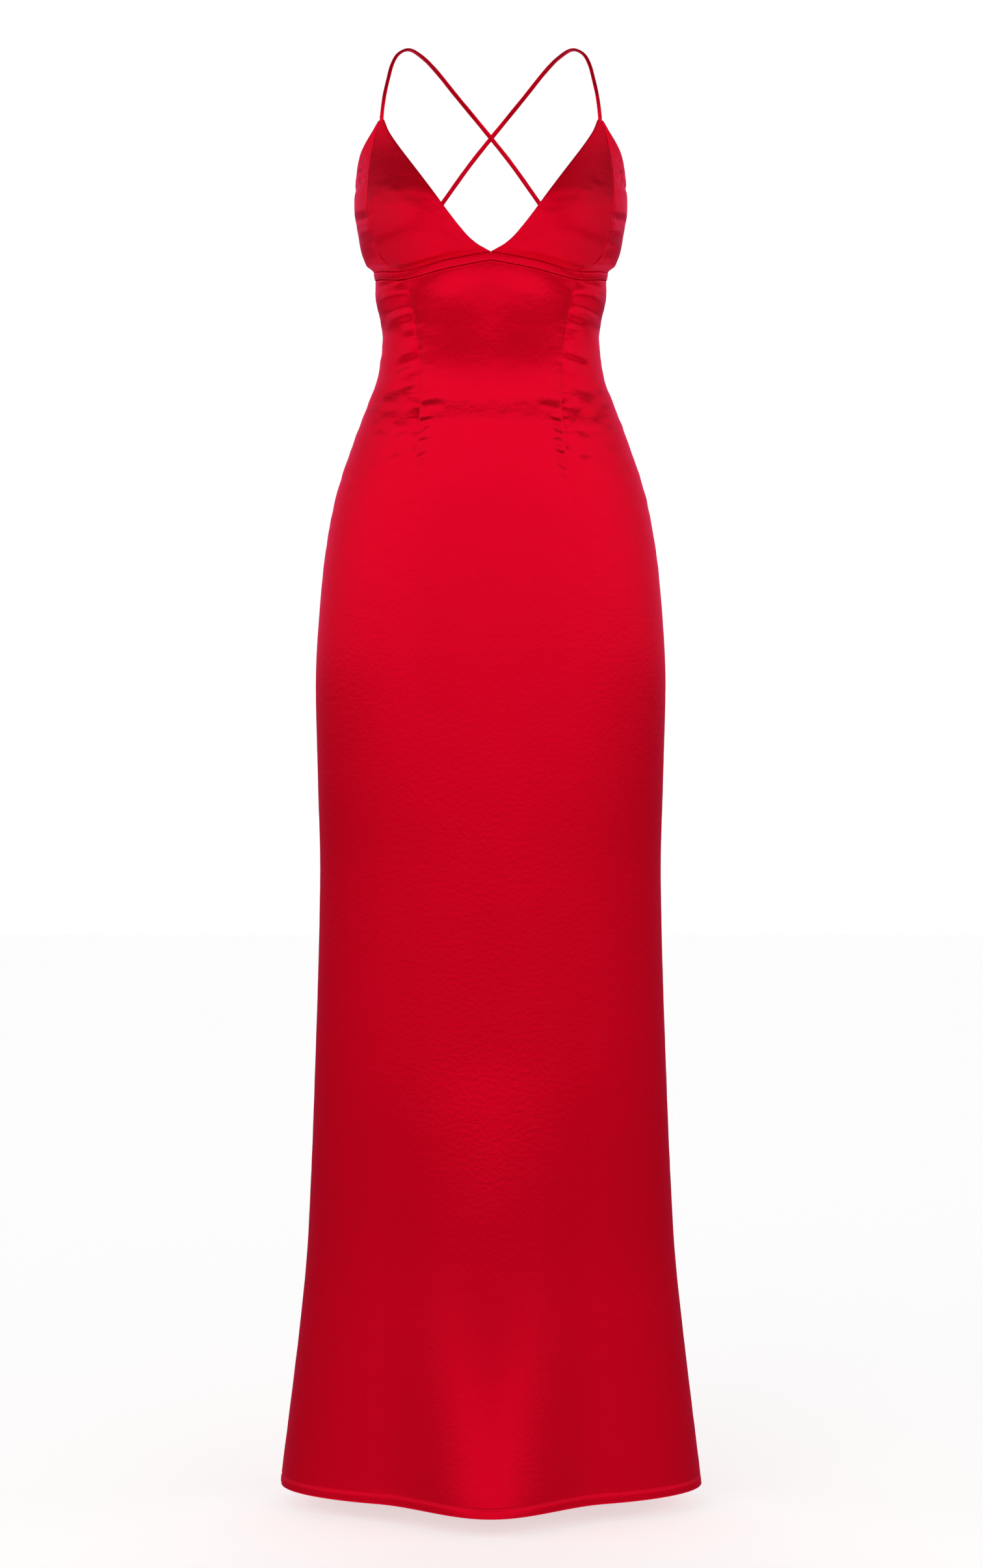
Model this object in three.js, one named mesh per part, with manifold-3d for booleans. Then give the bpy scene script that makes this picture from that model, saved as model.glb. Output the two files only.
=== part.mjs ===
// A full-length satin slip dress: deep V neck between two seamed triangle cups, a narrow
// under-bust band, a front cut in one from band to hem with two long waist darts, a low back in
// two panels with a concealed zip, and rouleau shoulder straps that cross behind.
//
// Millimetres, +Z up. The front faces -Y, and the wearer's left is +X. The origin is midway
// between the tops of the two straps, where shoulders carry the dress. The cloth keeps the hollow
// form that it has when it is worn. A ring angle of 0 is the centre front, 90 the side, 180 the
// centre back.
import * as THREE from "three";
import Module from "manifold-3d";
import { mergeVertices } from "three/addons/utils/BufferGeometryUtils.js";

// ---------------------------------------------------------------- driving dimensions
const hemHeight = -1499; // bottom edge of the skirt
const clothWall = 1.5; // one layer of satin with its seam allowances
const hemWall = 2.6; // the hem is turned up twice
const hemDepth = 9; // height of the turned hem
const seamGap = 0.3; // between neighbouring pieces
const bandHeight = 7.5; // under-bust band
const sideAngle = 92; // side seam, just behind the widest line
const apexHeight = -86; // top of each cup, where its strap begins

// The hollow form at each height: half of its width, its depth in front of and behind the side
// line, and the power of its ring (2 is an ellipse, more is squarer).
const sections = [
  { z: -60, width: 141.5, front: 76, back: 92, power: 2.2 },
  { z: -110, width: 141.5, front: 91, back: 95, power: 2.2 },
  { z: -150, width: 142, front: 106, back: 98, power: 2.2 }, // upper chest
  { z: -178, width: 141.5, front: 111.5, back: 97, power: 2.2 },
  { z: -208, width: 133.5, front: 107.5, back: 94, power: 2.2 },
  { z: -238, width: 121.5, front: 99, back: 90, power: 2.2 }, // under the bust
  { z: -262, width: 120.7, front: 97, back: 87, power: 2.2 },
  { z: -283, width: 116, front: 95.6, back: 84, power: 2.2 },
  { z: -305, width: 113.4, front: 93.6, back: 82, power: 2.2 }, // waist
  { z: -345, width: 118.5, front: 90, back: 86.5, power: 2.2 },
  { z: -372, width: 128.2, front: 91.6, back: 91.5, power: 2.2 }, // the belly begins
  { z: -405, width: 140.8, front: 99.6, back: 101, power: 2.2 },
  { z: -466, width: 161, front: 109, back: 114, power: 2.2 },
  { z: -527, width: 172.7, front: 112.5, back: 122, power: 2.2 },
  { z: -595, width: 179.5, front: 114, back: 124, power: 2.2 },
  { z: -660, width: 182.7, front: 114, back: 122, power: 2.2 }, // hips
  { z: -760, width: 180.3, front: 112.5, back: 115, power: 2.2 },
  { z: -864, width: 177.7, front: 110, back: 109, power: 2.15 }, // above the knee
  { z: -1040, width: 182.2, front: 107, back: 105, power: 2.1 },
  { z: -1240, width: 191.2, front: 108, back: 106, power: 2 }, // calf, where the flare begins
  { z: -1330, width: 200, front: 110, back: 110, power: 2 },
  { z: hemHeight, width: 220.5, front: 114, back: 121, power: 2 }, // hem
];

// Edges and seams. An x is measured across from the centre, an angle round the ring.
const neckline = [
  { z: -229.8, x: 0 },
  { z: -213, x: 22.5 },
  { z: -200, x: 35 },
  { z: -173, x: 55.5 },
  { z: -130, x: 85.5 },
  { z: -101, x: 104 },
  { z: apexHeight, x: 110 },
];
const cupSeam = [
  { z: -245, x: 91 },
  { z: -229, x: 107 },
  { z: -212, x: 114 },
  { z: -195, x: 120 },
  { z: -170, x: 122.2 },
  { z: -124, x: 121.5 },
  { z: -100, x: 118.8 },
  { z: apexHeight, x: 113 },
];
const bustSeam = [
  { angle: 0, z: -229.8 },
  { angle: 20, z: -237 },
  { angle: 44, z: -245 },
  { angle: 68, z: -240 },
  { angle: sideAngle, z: -235 },
];
const armholeAndBackEdge = [
  { angle: 52.5, z: apexHeight },
  { angle: 58.3, z: -98 },
  { angle: 64.8, z: -108 },
  { angle: 72, z: -119 },
  { angle: 79.5, z: -138 },
  { angle: sideAngle, z: -168 },
  { angle: 106, z: -196 },
  { angle: 121, z: -220 },
  { angle: 137, z: -236 },
  { angle: 158, z: -246 },
  { angle: 180, z: -250 },
];
const frontDart = [
  { z: -245, x: 90, depth: 1.2 },
  { z: -300, x: 79, depth: 2 },
  { z: -357, x: 73.5, depth: 2 },
  { z: -460, x: 79, depth: 1 },
  { z: -510, x: 84, depth: 0 }, // the dart's point
  { z: hemHeight, x: 100, depth: 0 }, // only a grid line from here to the hem
];
const backDart = [
  { z: -200, x: 62, depth: 0 },
  { z: -262, x: 56, depth: 1.4 },
  { z: -330, x: 52, depth: 2 },
  { z: -440, x: 60, depth: 0.8 },
  { z: -480, x: 64, depth: 0 },
  { z: hemHeight, x: 96, depth: 0 },
];

// Fullness of each cup, pushed forwards from the form.
const cup = { x: 76, z: -208, out: 24, halfWidth: 46, above: 66, below: 24 };

// Folds of the skirt: each rises from nothing at its top to its full size at the hem.
const skirtFolds = [
  { angle: 0, out: 48, halfWidth: 118, top: -1040 },
  { angle: 148, out: 13, halfWidth: 70, top: -1100 },
  { angle: -150, out: 15, halfWidth: 62, top: -1060 },
  { angle: 180, out: -9, halfWidth: 52, top: -1180 },
];

// A strap's centre line over the shoulder, between the cup's tip and the far side of the back.
const strap = { width: 4.6, thickness: 2.6, sides: 8, steps: 34 };
const strapRoute = [
  [110, -48, -62],
  [106, -38.5, -40],
  [102, -29, -22.5],
  [96.2, -18, -9.8],
  [85.4, -1, -1.3],
  [71.6, 22, -4.2],
  [58, 45, -13],
  [36, 71.5, -34.6],
  [12.6, 90, -59],
  [-20.2, 96.5, -98.4],
  [-50, 95.5, -140.4],
  [-77, 86.5, -181],
  [-95, 72, -205],
];
const strapEnds = { x: 113, above: 0.9, backAngle: 125.5, backAbove: 1.9, crossingOut: 1.8 };

// The concealed zip in the centre-back seam.
const zip = { rows: 9, tapeWall: 0.8, neckGap: 0.75 };
const pinPlace = { out: 3.6, height: -264 }; // the pull's pin, out from the cloth
const slider = { width: 5.6, height: 9, above: 6, plate: 1.2, stem: 0.7, outerWidth: 4.4, clear: 0.6 };
const lug = { inner: 1.5, thick: 0.7, reach: 1.1 };
const pull = { length: 15, width: 5, neck: 2.2, thick: 0.9, eye: 1.35, hole: 0.8, pin: 0.45 };

// ---------------------------------------------------------------- curves from the tables
const radians = Math.PI / 180;
const mix = (a, b, share) => a + (b - a) * share;
const clamp = (value) => Math.min(1, Math.max(0, value));

// Neighbouring pieces share their columns, so that the seams between them stay even.
const centreColumns = 6; // from the centre front to a front dart
const sideColumns = 6; // from there to the side seam

// A smooth curve through a table's rows: cubic, with each slope taken from the rows around it.
function curve(table, from, to) {
  const rows = [...table].sort((a, b) => a[from] - b[from]);
  const slope = rows.map((row, i) => {
    const before = rows[Math.max(0, i - 1)];
    const after = rows[Math.min(rows.length - 1, i + 1)];
    return (after[to] - before[to]) / (after[from] - before[from]);
  });
  return (at) => {
    const value = Math.min(rows.at(-1)[from], Math.max(rows[0][from], at));
    const i = Math.max(1, rows.findIndex((row) => row[from] >= value));
    const [a, b] = [rows[i - 1], rows[i]];
    const step = b[from] - a[from];
    const s = (value - a[from]) / step;
    return (
      a[to] * (1 + 2 * s) * (1 - s) ** 2 +
      slope[i - 1] * step * s * (1 - s) ** 2 +
      b[to] * s * s * (3 - 2 * s) +
      slope[i] * step * s * s * (s - 1)
    );
  };
}

const widthAt = curve(sections, "z", "width");
const frontAt = curve(sections, "z", "front");
const backAt = curve(sections, "z", "back");
const powerAt = curve(sections, "z", "power");
const necklineX = curve(neckline, "z", "x");
const cupSeamX = curve(cupSeam, "z", "x");
const bustSeamZ = curve(bustSeam, "angle", "z");
const openEdgeZ = curve(armholeAndBackEdge, "angle", "z");
const backDartX = curve(backDart, "z", "x");
const backDartDepth = curve(backDart, "z", "depth");

// ---------------------------------------------------------------- the hollow form
// How far a point of the ring stands out of the plain rounded form, towards the front or back.
function fullness(x, z, ringAngle) {
  const across = (Math.abs(x) - cup.x) / cup.halfWidth;
  const up = (z - cup.z) / (z > cup.z ? cup.above : cup.below);
  const inFront = Math.abs(ringAngle) < 90;
  let out = inFront ? cup.out * Math.exp(-across * across - up * up) : 0;
  for (const fold of skirtFolds) {
    if (inFront !== Math.abs(fold.angle) < 90) continue;
    const rise = clamp((fold.top - z) / (fold.top - hemHeight));
    const foldX = widthAt(z) * Math.sin(fold.angle * radians);
    const away = Math.min(1, Math.abs(x - foldX) / fold.halfWidth);
    out += fold.out * rise ** 1.6 * Math.cos((away * Math.PI) / 2) ** 2;
  }
  return out;
}

function formPoint(angle, z) {
  const sine = Math.sin(angle * radians);
  const cosine = Math.cos(angle * radians);
  const power = powerAt(z);
  const reach = (Math.abs(sine) ** power + Math.abs(cosine) ** power) ** (-1 / power);
  const x = widthAt(z) * sine * reach;
  const depth = cosine > 0 ? frontAt(z) : backAt(z);
  const side = Math.abs(cosine) < 0.25 ? Math.abs(cosine) / 0.25 : 1; // folds end at the side seam
  const y = -depth * cosine * reach - Math.sign(cosine) * side * fullness(x, z, angle);
  return new THREE.Vector3(x, y, z);
}

function formNormal(angle, z) {
  const round = formPoint(angle + 0.5, z).sub(formPoint(angle - 0.5, z));
  const down = formPoint(angle, z - 1).sub(formPoint(angle, z + 1));
  return new THREE.Vector3().crossVectors(down, round).normalize();
}

// The ring angle on the wearer's left where the form is x across, in front or behind.
function angleAt(x, z, behind = false) {
  let [low, high] = [0, 90];
  for (let i = 0; i < 40; i++) {
    const middle = (low + high) / 2;
    if (formPoint(middle, z).x < x) low = middle;
    else high = middle;
  }
  return behind ? 180 - low : low;
}

// Millimetres of cloth for one degree round the ring, and half of a seam's gap in degrees.
const perDegree = (angle, z) => formPoint(angle + 0.5, z).distanceTo(formPoint(angle - 0.5, z));
const halfGap = (angle, z) => seamGap / 2 / perDegree(angle, z);

// ---------------------------------------------------------------- building walls
function meshGeometry(points, triangles) {
  const geometry = new THREE.BufferGeometry();
  geometry.setAttribute("position", new THREE.Float32BufferAttribute(points, 3));
  geometry.setIndex(triangles);
  return geometry;
}

// A closed wall of cloth. at(i, j) gives the ring angle and height of a grid point, and may say
// how far its outer face is inset, and how thick the wall is there.
function clothWallGeometry(columns, rows, at) {
  const points = [];
  const triangles = [];
  for (const inner of [false, true]) {
    for (let j = 0; j <= rows; j++) {
      for (let i = 0; i <= columns; i++) {
        const { angle, z, inset = 0, wall = clothWall } = at(i, j);
        const normal = formNormal(angle, z);
        const point = formPoint(angle, z).addScaledVector(normal, -inset - (inner ? wall : 0));
        points.push(point.x, point.y, point.z);
      }
    }
  }
  const stride = columns + 1;
  const layer = stride * (rows + 1);
  const index = (i, j, inner) => j * stride + i + inner * layer;
  const quad = (a, b, c, d) => triangles.push(a, b, c, a, c, d);
  for (let j = 0; j < rows; j++) {
    for (let i = 0; i < columns; i++) {
      quad(index(i, j, 0), index(i, j + 1, 0), index(i + 1, j + 1, 0), index(i + 1, j, 0));
      quad(index(i, j, 1), index(i + 1, j, 1), index(i + 1, j + 1, 1), index(i, j + 1, 1));
    }
  }
  for (let i = 0; i < columns; i++) {
    quad(index(i, 0, 0), index(i + 1, 0, 0), index(i + 1, 0, 1), index(i, 0, 1));
    quad(index(i, rows, 0), index(i, rows, 1), index(i + 1, rows, 1), index(i + 1, rows, 0));
  }
  for (let j = 0; j < rows; j++) {
    quad(index(0, j, 0), index(0, j, 1), index(0, j + 1, 1), index(0, j + 1, 0));
    quad(index(columns, j, 0), index(columns, j + 1, 0), index(columns, j + 1, 1), index(columns, j, 1));
  }
  return meshGeometry(points, triangles);
}

// A grid that runs down (rows) and towards a greater angle (columns) faces out. On the wearer's
// right the columns are counted the other way, so that it still does.
const mirrored = (side, i, columns) => (side > 0 ? i : columns - i);

// ---------------------------------------------------------------- cups
const bandJoin = angleAt(cupSeam[0].x, cupSeam[0].z); // where the cup seam meets the band
const cupRows = 12;
const cupFoot = (angle) => bustSeamZ(angle) + seamGap / 2;

// Height on the seam between the two panels of a cup, at a share of the way up it.
const cupSeamZ = (up) => mix(cupFoot(bandJoin), apexHeight, up);

function innerCup(side) {
  return clothWallGeometry(centreColumns, cupRows, (i, j) => {
    const across = mirrored(side, i, centreColumns) / centreColumns;
    const up = 1 - j / cupRows;
    const neckZ = mix(cupFoot(0), apexHeight, up);
    const neckAngle = angleAt(necklineX(neckZ) + seamGap / 2, neckZ);
    const seamZ = cupSeamZ(up);
    const seamAngle = angleAt(cupSeamX(seamZ) - seamGap / 2, seamZ);
    const angle = mix(neckAngle, seamAngle, across);
    const dip = cupFoot(angle) - mix(cupFoot(0), cupFoot(bandJoin), across);
    return { angle: side * angle, z: mix(neckZ, seamZ, across) + dip * (1 - up) ** 3 };
  });
}

function outerCup(side) {
  const cornerUp = 5 / cupRows; // below it the edge is the side seam, above it the armhole
  const sideEdge = sideAngle - halfGap(sideAngle, -200);
  const tipAngle = armholeAndBackEdge[0].angle;
  return clothWallGeometry(sideColumns, cupRows, (i, j) => {
    const across = mirrored(side, i, sideColumns) / sideColumns;
    const up = 1 - j / cupRows;
    const seamZ = cupSeamZ(up);
    const seamAngle = angleAt(cupSeamX(seamZ) + seamGap / 2, seamZ);
    const alongArmhole = (up - cornerUp) / (1 - cornerUp);
    const edgeAngle = mix(sideEdge, tipAngle, clamp(alongArmhole));
    const sideZ = mix(cupFoot(sideAngle), openEdgeZ(sideEdge), up / cornerUp);
    const edgeZ = alongArmhole > 0 ? openEdgeZ(edgeAngle) : sideZ;
    const angle = mix(seamAngle, edgeAngle, across);
    const dip = cupFoot(angle) - mix(cupFoot(bandJoin), cupFoot(sideAngle), across);
    return { angle: side * angle, z: mix(seamZ, edgeZ, across) + dip * (1 - up) ** 3 };
  });
}

// ---------------------------------------------------------------- under-bust band
const bandBottomZ = (angle) => bustSeamZ(Math.abs(angle)) - bandHeight;

function bandPiece(fromAngle, toAngle, columns) {
  const gapAngle = halfGap(bandJoin, -245);
  return clothWallGeometry(columns, 1, (i, j) => {
    const angle = mix(fromAngle + gapAngle, toAngle - gapAngle, i / columns);
    const top = bustSeamZ(Math.abs(angle)) - seamGap / 2;
    return { angle, z: j === 0 ? top : bandBottomZ(angle) };
  });
}

// ---------------------------------------------------------------- front and back panels
const hemStart = hemHeight + hemDepth;

// Heights from an edge down to the hem: closer together at the waist, with the last row the hem.
function panelRow(top, j, rows) {
  if (j === rows) return hemHeight;
  return mix(top, hemStart, (j / (rows - 1)) ** 1.3);
}

const panelTopZ = (angle) => bandBottomZ(angle) - 1.5 * seamGap;

function frontPanel() {
  const rows = 30;
  const dartX = curve(frontDart, "z", "x");
  const dartDepth = curve(frontDart, "z", "depth");
  const columns = 2 * (sideColumns + centreColumns);
  return clothWallGeometry(columns, rows, (i, j) => {
    const fromCentre = i - columns / 2;
    const side = Math.sign(fromCentre);
    const count = Math.abs(fromCentre);
    const share = count <= centreColumns ? count / centreColumns : (count - centreColumns) / sideColumns;
    const place = (z) => {
      const dart = angleAt(dartX(z), z);
      if (count <= centreColumns) return mix(0, dart, share);
      return mix(dart, sideAngle - halfGap(sideAngle, z), share);
    };
    let z = panelRow(panelTopZ(place(-245)), j, rows);
    const angle = place(z);
    z = panelRow(panelTopZ(angle), j, rows);
    const inset = count === centreColumns ? dartDepth(z) : 0;
    return { angle: side * angle, z, inset, wall: j >= rows - 1 ? hemWall : clothWall };
  });
}

// Half of the gap at the centre back: a sewn seam, opening round the neck of the slider.
function centreBackGap(z) {
  return mix(zip.neckGap, seamGap / 2, clamp((-270 - z) / 30));
}

const backGrid = { outerColumns: 6, innerColumns: 4, rows: 29 };

// The ring angle and height of a grid point, counted from the side seam to the centre back.
function backPoint(count, j) {
  const { outerColumns, innerColumns, rows } = backGrid;
  const place = (z) => {
    const dart = angleAt(backDartX(z), z, true);
    const centre = 180 - centreBackGap(z) / perDegree(180, z);
    const seam = sideAngle + halfGap(sideAngle, z);
    if (count <= outerColumns) return mix(seam, dart, count / outerColumns);
    return mix(dart, centre, (count - outerColumns) / innerColumns);
  };
  let angle = place(-230);
  for (let pass = 0; pass < 4; pass++) angle = place(panelRow(openEdgeZ(angle), j, rows));
  return { angle, z: panelRow(openEdgeZ(angle), j, rows) };
}

function backPanel(side) {
  const { outerColumns, innerColumns, rows } = backGrid;
  const columns = outerColumns + innerColumns;
  return clothWallGeometry(columns, rows, (i, j) => {
    const count = mirrored(side, i, columns);
    const { angle, z } = backPoint(count, j);
    const inset = count === outerColumns ? backDartDepth(z) : 0;
    return { angle: side * angle, z, inset, wall: j >= rows - 1 ? hemWall : clothWall };
  });
}

// ---------------------------------------------------------------- straps
// Outwards from the torso that a strap lies on, which is rounded off over the shoulders.
function strapOutwards(point) {
  const slope = new THREE.Vector3(point.x / 143 ** 2, point.y / 96 ** 2, 0);
  slope.z = (Math.max(0, point.z + 150) / 150) ** 3 / 60;
  return slope.normalize();
}

function strapGeometry(side) {
  const route = strapRoute.map(([x, y, z]) => new THREE.Vector3(side * x, y, z));
  const inWall = (angle, z) => formPoint(angle, z).addScaledVector(formNormal(angle, z), -clothWall / 2);
  const { x: startX, above, backAngle, backAbove, crossingOut } = strapEnds;
  route.unshift(inWall(side * angleAt(startX, apexHeight), apexHeight + above));
  route.push(inWall(-side * backAngle, openEdgeZ(backAngle) + backAbove));
  if (side > 0) {
    // The left strap passes outside the right one where they cross.
    route.forEach((point) => {
      const near = Math.exp(-((point.x / 34) ** 2)) * (point.y > 60 ? 1 : 0);
      point.y += 2 * crossingOut * near;
    });
  }
  const line = new THREE.CatmullRomCurve3(route, false, "centripetal");
  const points = [];
  const triangles = [];
  for (let j = 0; j <= strap.steps; j++) {
    const centre = line.getPointAt(j / strap.steps);
    const along = line.getTangentAt(j / strap.steps);
    const across = new THREE.Vector3().crossVectors(strapOutwards(centre), along).normalize();
    const out = new THREE.Vector3().crossVectors(along, across);
    for (let k = 0; k < strap.sides; k++) {
      const turn = (2 * Math.PI * (k + 0.5)) / strap.sides;
      const point = centre
        .clone()
        .addScaledVector(across, (Math.cos(turn) * strap.width) / 2)
        .addScaledVector(out, (Math.sin(turn) * strap.thickness) / 2);
      points.push(point.x, point.y, point.z);
    }
  }
  const index = (j, k) => j * strap.sides + (k % strap.sides);
  for (let j = 0; j < strap.steps; j++) {
    for (let k = 0; k < strap.sides; k++) {
      triangles.push(index(j, k), index(j, k + 1), index(j + 1, k + 1));
      triangles.push(index(j, k), index(j + 1, k + 1), index(j + 1, k));
    }
  }
  for (let k = 1; k < strap.sides - 1; k++) {
    triangles.push(index(0, 0), index(0, k + 1), index(0, k));
    triangles.push(index(strap.steps, 0), index(strap.steps, k), index(strap.steps, k + 1));
  }
  return meshGeometry(points, triangles);
}

// ---------------------------------------------------------------- concealed zip
// Each half of the tape lies against the inside of the panel's last column, down to the zip's end.
function zipTape(side) {
  const { outerColumns, innerColumns } = backGrid;
  return clothWallGeometry(1, zip.rows, (i, j) => {
    const count = outerColumns + innerColumns - 1 + mirrored(side, i, 1);
    const { angle, z } = backPoint(count, j);
    return { angle: side * angle, z, inset: clothWall + seamGap, wall: zip.tapeWall };
  });
}

const wasm = await Module();
wasm.setup();

function solid(geometry) {
  const bare = geometry.clone().deleteAttribute("normal").deleteAttribute("uv");
  const merged = mergeVertices(bare, 1e-4);
  const vertProperties = merged.attributes.position.array;
  const triVerts = new Uint32Array(merged.index.array);
  return new wasm.Manifold(new wasm.Mesh({ numProp: 3, vertProperties, triVerts }));
}

function geometryOf(manifold) {
  const { vertProperties, triVerts } = manifold.getMesh();
  return meshGeometry(Array.from(vertProperties), Array.from(triVerts));
}

const box = (low, high) => {
  const size = high.map((value, i) => value - low[i]);
  const middle = high.map((value, i) => (value + low[i]) / 2);
  return solid(new THREE.BoxGeometry(...size).translate(...middle));
};

// Slider and pull are drawn about the pin that the pull swings on: +Y outwards, +Z up.
const pin = [0, backAt(pinPlace.height) + pinPlace.out, pinPlace.height];
const clothSlope = (backAt(pinPlace.height + 5) - backAt(pinPlace.height - 5)) / 10;

const barAlongX = (radius, from, to) => {
  const cylinder = new THREE.CylinderGeometry(radius, radius, to - from, 16);
  return solid(cylinder.rotateZ(Math.PI / 2).translate((from + to) / 2, 0, 0));
};

function zipSlider() {
  const { height, plate, above, clear } = slider;
  const [top, bottom] = [above, above - height];
  const outside = -pinPlace.out + clear;
  const inside = -pinPlace.out - clothWall - seamGap - zip.tapeWall - clear;
  const lugOuter = lug.inner + lug.thick;
  const half = slider.width / 2;
  const outerHalf = slider.outerWidth / 2;
  const stemHalf = slider.stem / 2;
  const parts = [
    box([-half, inside - plate, bottom], [half, inside, top]),
    box([-stemHalf, inside - 0.1, bottom + 1], [stemHalf, outside + 0.1, top - 1]),
    box([-outerHalf, outside, bottom], [outerHalf, outside + plate, top]),
    box([-lugOuter, outside + plate - 0.1, -lug.reach], [-lug.inner, lug.reach, lug.reach]),
    box([lug.inner, outside + plate - 0.1, -lug.reach], [lugOuter, lug.reach, lug.reach]),
    barAlongX(pull.pin, -lugOuter + 0.1, lugOuter - 0.1),
  ];
  const whole = parts.reduce((joined, part) => joined.add(part));
  const tilt = -Math.atan(clothSlope) / radians; // lies flat on the cloth, which draws in below
  return geometryOf(whole.rotate([tilt, 0, 0]).translate(pin));
}

// A flat drop that hangs from its eye and widens to a round end.
function zipPull() {
  const outline = new THREE.Shape();
  const neckHalf = pull.neck / 2;
  const endRadius = pull.width / 2;
  const endHeight = -pull.length + endRadius;
  outline.moveTo(neckHalf, -0.6);
  outline.lineTo(neckHalf, -2.6);
  outline.lineTo(endRadius, endHeight);
  outline.absarc(0, endHeight, endRadius, 0, -Math.PI, true);
  outline.lineTo(-neckHalf, -2.6);
  outline.lineTo(-neckHalf, -0.6);
  outline.closePath();
  const settings = { depth: pull.thick, bevelEnabled: false, curveSegments: 8 };
  const plate = new THREE.ExtrudeGeometry(outline, settings);
  plate.rotateX(Math.PI / 2).translate(0, pull.thick / 2, 0); // upright, thickness along Y
  const eye = barAlongX(pull.eye, -neckHalf, neckHalf);
  const hole = barAlongX(pull.hole, -neckHalf - 1, neckHalf + 1);
  return geometryOf(solid(plate).add(eye).subtract(hole).translate(pin));
}

// ---------------------------------------------------------------- the dress
const satin = () => new THREE.MeshStandardMaterial({ color: 0xc8001e, roughness: 0.38, metalness: 0 });
const tapeCloth = () => new THREE.MeshStandardMaterial({ color: 0xa3061c, roughness: 0.8, metalness: 0 });
const enamel = () => new THREE.MeshStandardMaterial({ color: 0xa80f22, roughness: 0.35, metalness: 0.2 });

const dress = new THREE.Group();

function sew(name, geometry, material) {
  const mesh = new THREE.Mesh(geometry, material);
  mesh.name = name;
  dress.add(mesh);
}

sew("front_panel", frontPanel(), satin());
sew("band_centre", bandPiece(-bandJoin, bandJoin, 2 * centreColumns), satin());
sew("band_side_left", bandPiece(bandJoin, sideAngle, sideColumns), satin());
sew("band_side_right", bandPiece(-sideAngle, -bandJoin, sideColumns), satin());
for (const [side, name] of [[1, "left"], [-1, "right"]]) {
  sew(`cup_inner_${name}`, innerCup(side), satin());
  sew(`cup_outer_${name}`, outerCup(side), satin());
  sew(`back_panel_${name}`, backPanel(side), satin());
  sew(`strap_${name}`, strapGeometry(side), satin());
  sew(`zip_tape_${name}`, zipTape(side), tapeCloth());
}
sew("zip_slider", zipSlider(), enamel());
sew("zip_pull", zipPull(), enamel());

export default dress;
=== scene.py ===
# A full-length satin slip dress. Every piece of cloth is a thin closed shell on one hollow form,
# and its darts, seams, puckers, creases and folds are small lifts of the cloth from that form.
# Tables are in millimetres, +Z up; the front faces -Y and the wearer's left is +X.
# A ring angle of 0 is the centre front, 90 the wearer's left side, 180 the centre back.
import math

import bpy
import numpy as np
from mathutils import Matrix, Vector


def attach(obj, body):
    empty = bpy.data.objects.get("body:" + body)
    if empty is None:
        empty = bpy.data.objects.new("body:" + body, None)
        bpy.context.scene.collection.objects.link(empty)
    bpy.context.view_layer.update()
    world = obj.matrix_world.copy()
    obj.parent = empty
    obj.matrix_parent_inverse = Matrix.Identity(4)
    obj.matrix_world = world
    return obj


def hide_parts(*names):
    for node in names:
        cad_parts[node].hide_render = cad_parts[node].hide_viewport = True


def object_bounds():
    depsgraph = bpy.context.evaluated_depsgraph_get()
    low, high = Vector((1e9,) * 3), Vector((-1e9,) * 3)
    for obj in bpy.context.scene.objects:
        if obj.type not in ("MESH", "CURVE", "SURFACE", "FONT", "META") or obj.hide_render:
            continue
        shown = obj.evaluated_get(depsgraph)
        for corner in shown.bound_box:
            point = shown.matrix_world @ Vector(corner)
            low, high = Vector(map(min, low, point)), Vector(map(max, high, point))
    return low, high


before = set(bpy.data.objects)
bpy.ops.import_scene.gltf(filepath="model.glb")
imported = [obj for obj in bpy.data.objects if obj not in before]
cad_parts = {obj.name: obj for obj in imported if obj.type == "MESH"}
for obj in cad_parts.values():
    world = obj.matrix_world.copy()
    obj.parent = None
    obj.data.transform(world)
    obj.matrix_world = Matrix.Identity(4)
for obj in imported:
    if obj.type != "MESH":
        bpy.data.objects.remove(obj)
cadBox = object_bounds()
mm = 0.001

viewer = {"distance": 3.2, "pictureHeight": 1.6395, "aim": -0.7687, "across": 0.0007, "sensor": 36}
floor = {"below": 0.02, "half": 12, "shade": (0.86, 0.86, 0.86, 1), "lift": 0.6}
studio = {
    "backdrop": 1.0,
    "glow": 1.25,
    # share of the glow by the height of a direction, -1 straight down and 1 straight up:
    # a pale floor, a dark skirting, a long soft light from about eye level up, a dark ceiling
    "sideRoom": [
        (-1, 0.94), (-0.7, 0.78), (-0.36, 0.7), (-0.2, 0.4), (-0.12, 0.27), (-0.03, 0.29),
        (0.05, 0.57), (0.12, 0.92), (0.58, 0.96), (0.68, 0.06), (1, 0.03),
    ],
    "frontRoom": [
        (-1, 0.94), (-0.7, 0.84), (-0.36, 0.74), (-0.21, 0.32), (-0.13, 0.42), (-0.07, 0.7),
        (-0.01, 0.8), (0.1, 0.74), (0.22, 0.76), (0.36, 0.84), (0.6, 0.94), (0.7, 0.1), (1, 0.04),
    ],
    # two dark columns, one behind each side, by how far a direction points to the back
    "flags": [(-1, 1), (0.1, 1), (0.29, 0.14), (0.5, 0.14), (0.72, 1), (1, 1)],
    "frontFrom": 0.64,  # how far towards the front a direction points where the front room begins
    "frontFull": 0.97,
}
# a low grey screen before the skirt, which only its reflections and shade show
screen = {"ahead": 0.72, "top": -1.12, "foot": -1.3, "half": 0.3, "glow": 0.3}
softbox = {"bearing": -25, "height": 1.7, "distance": 2.1, "size": (1.6, 1.6), "glow": 0.8}


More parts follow.
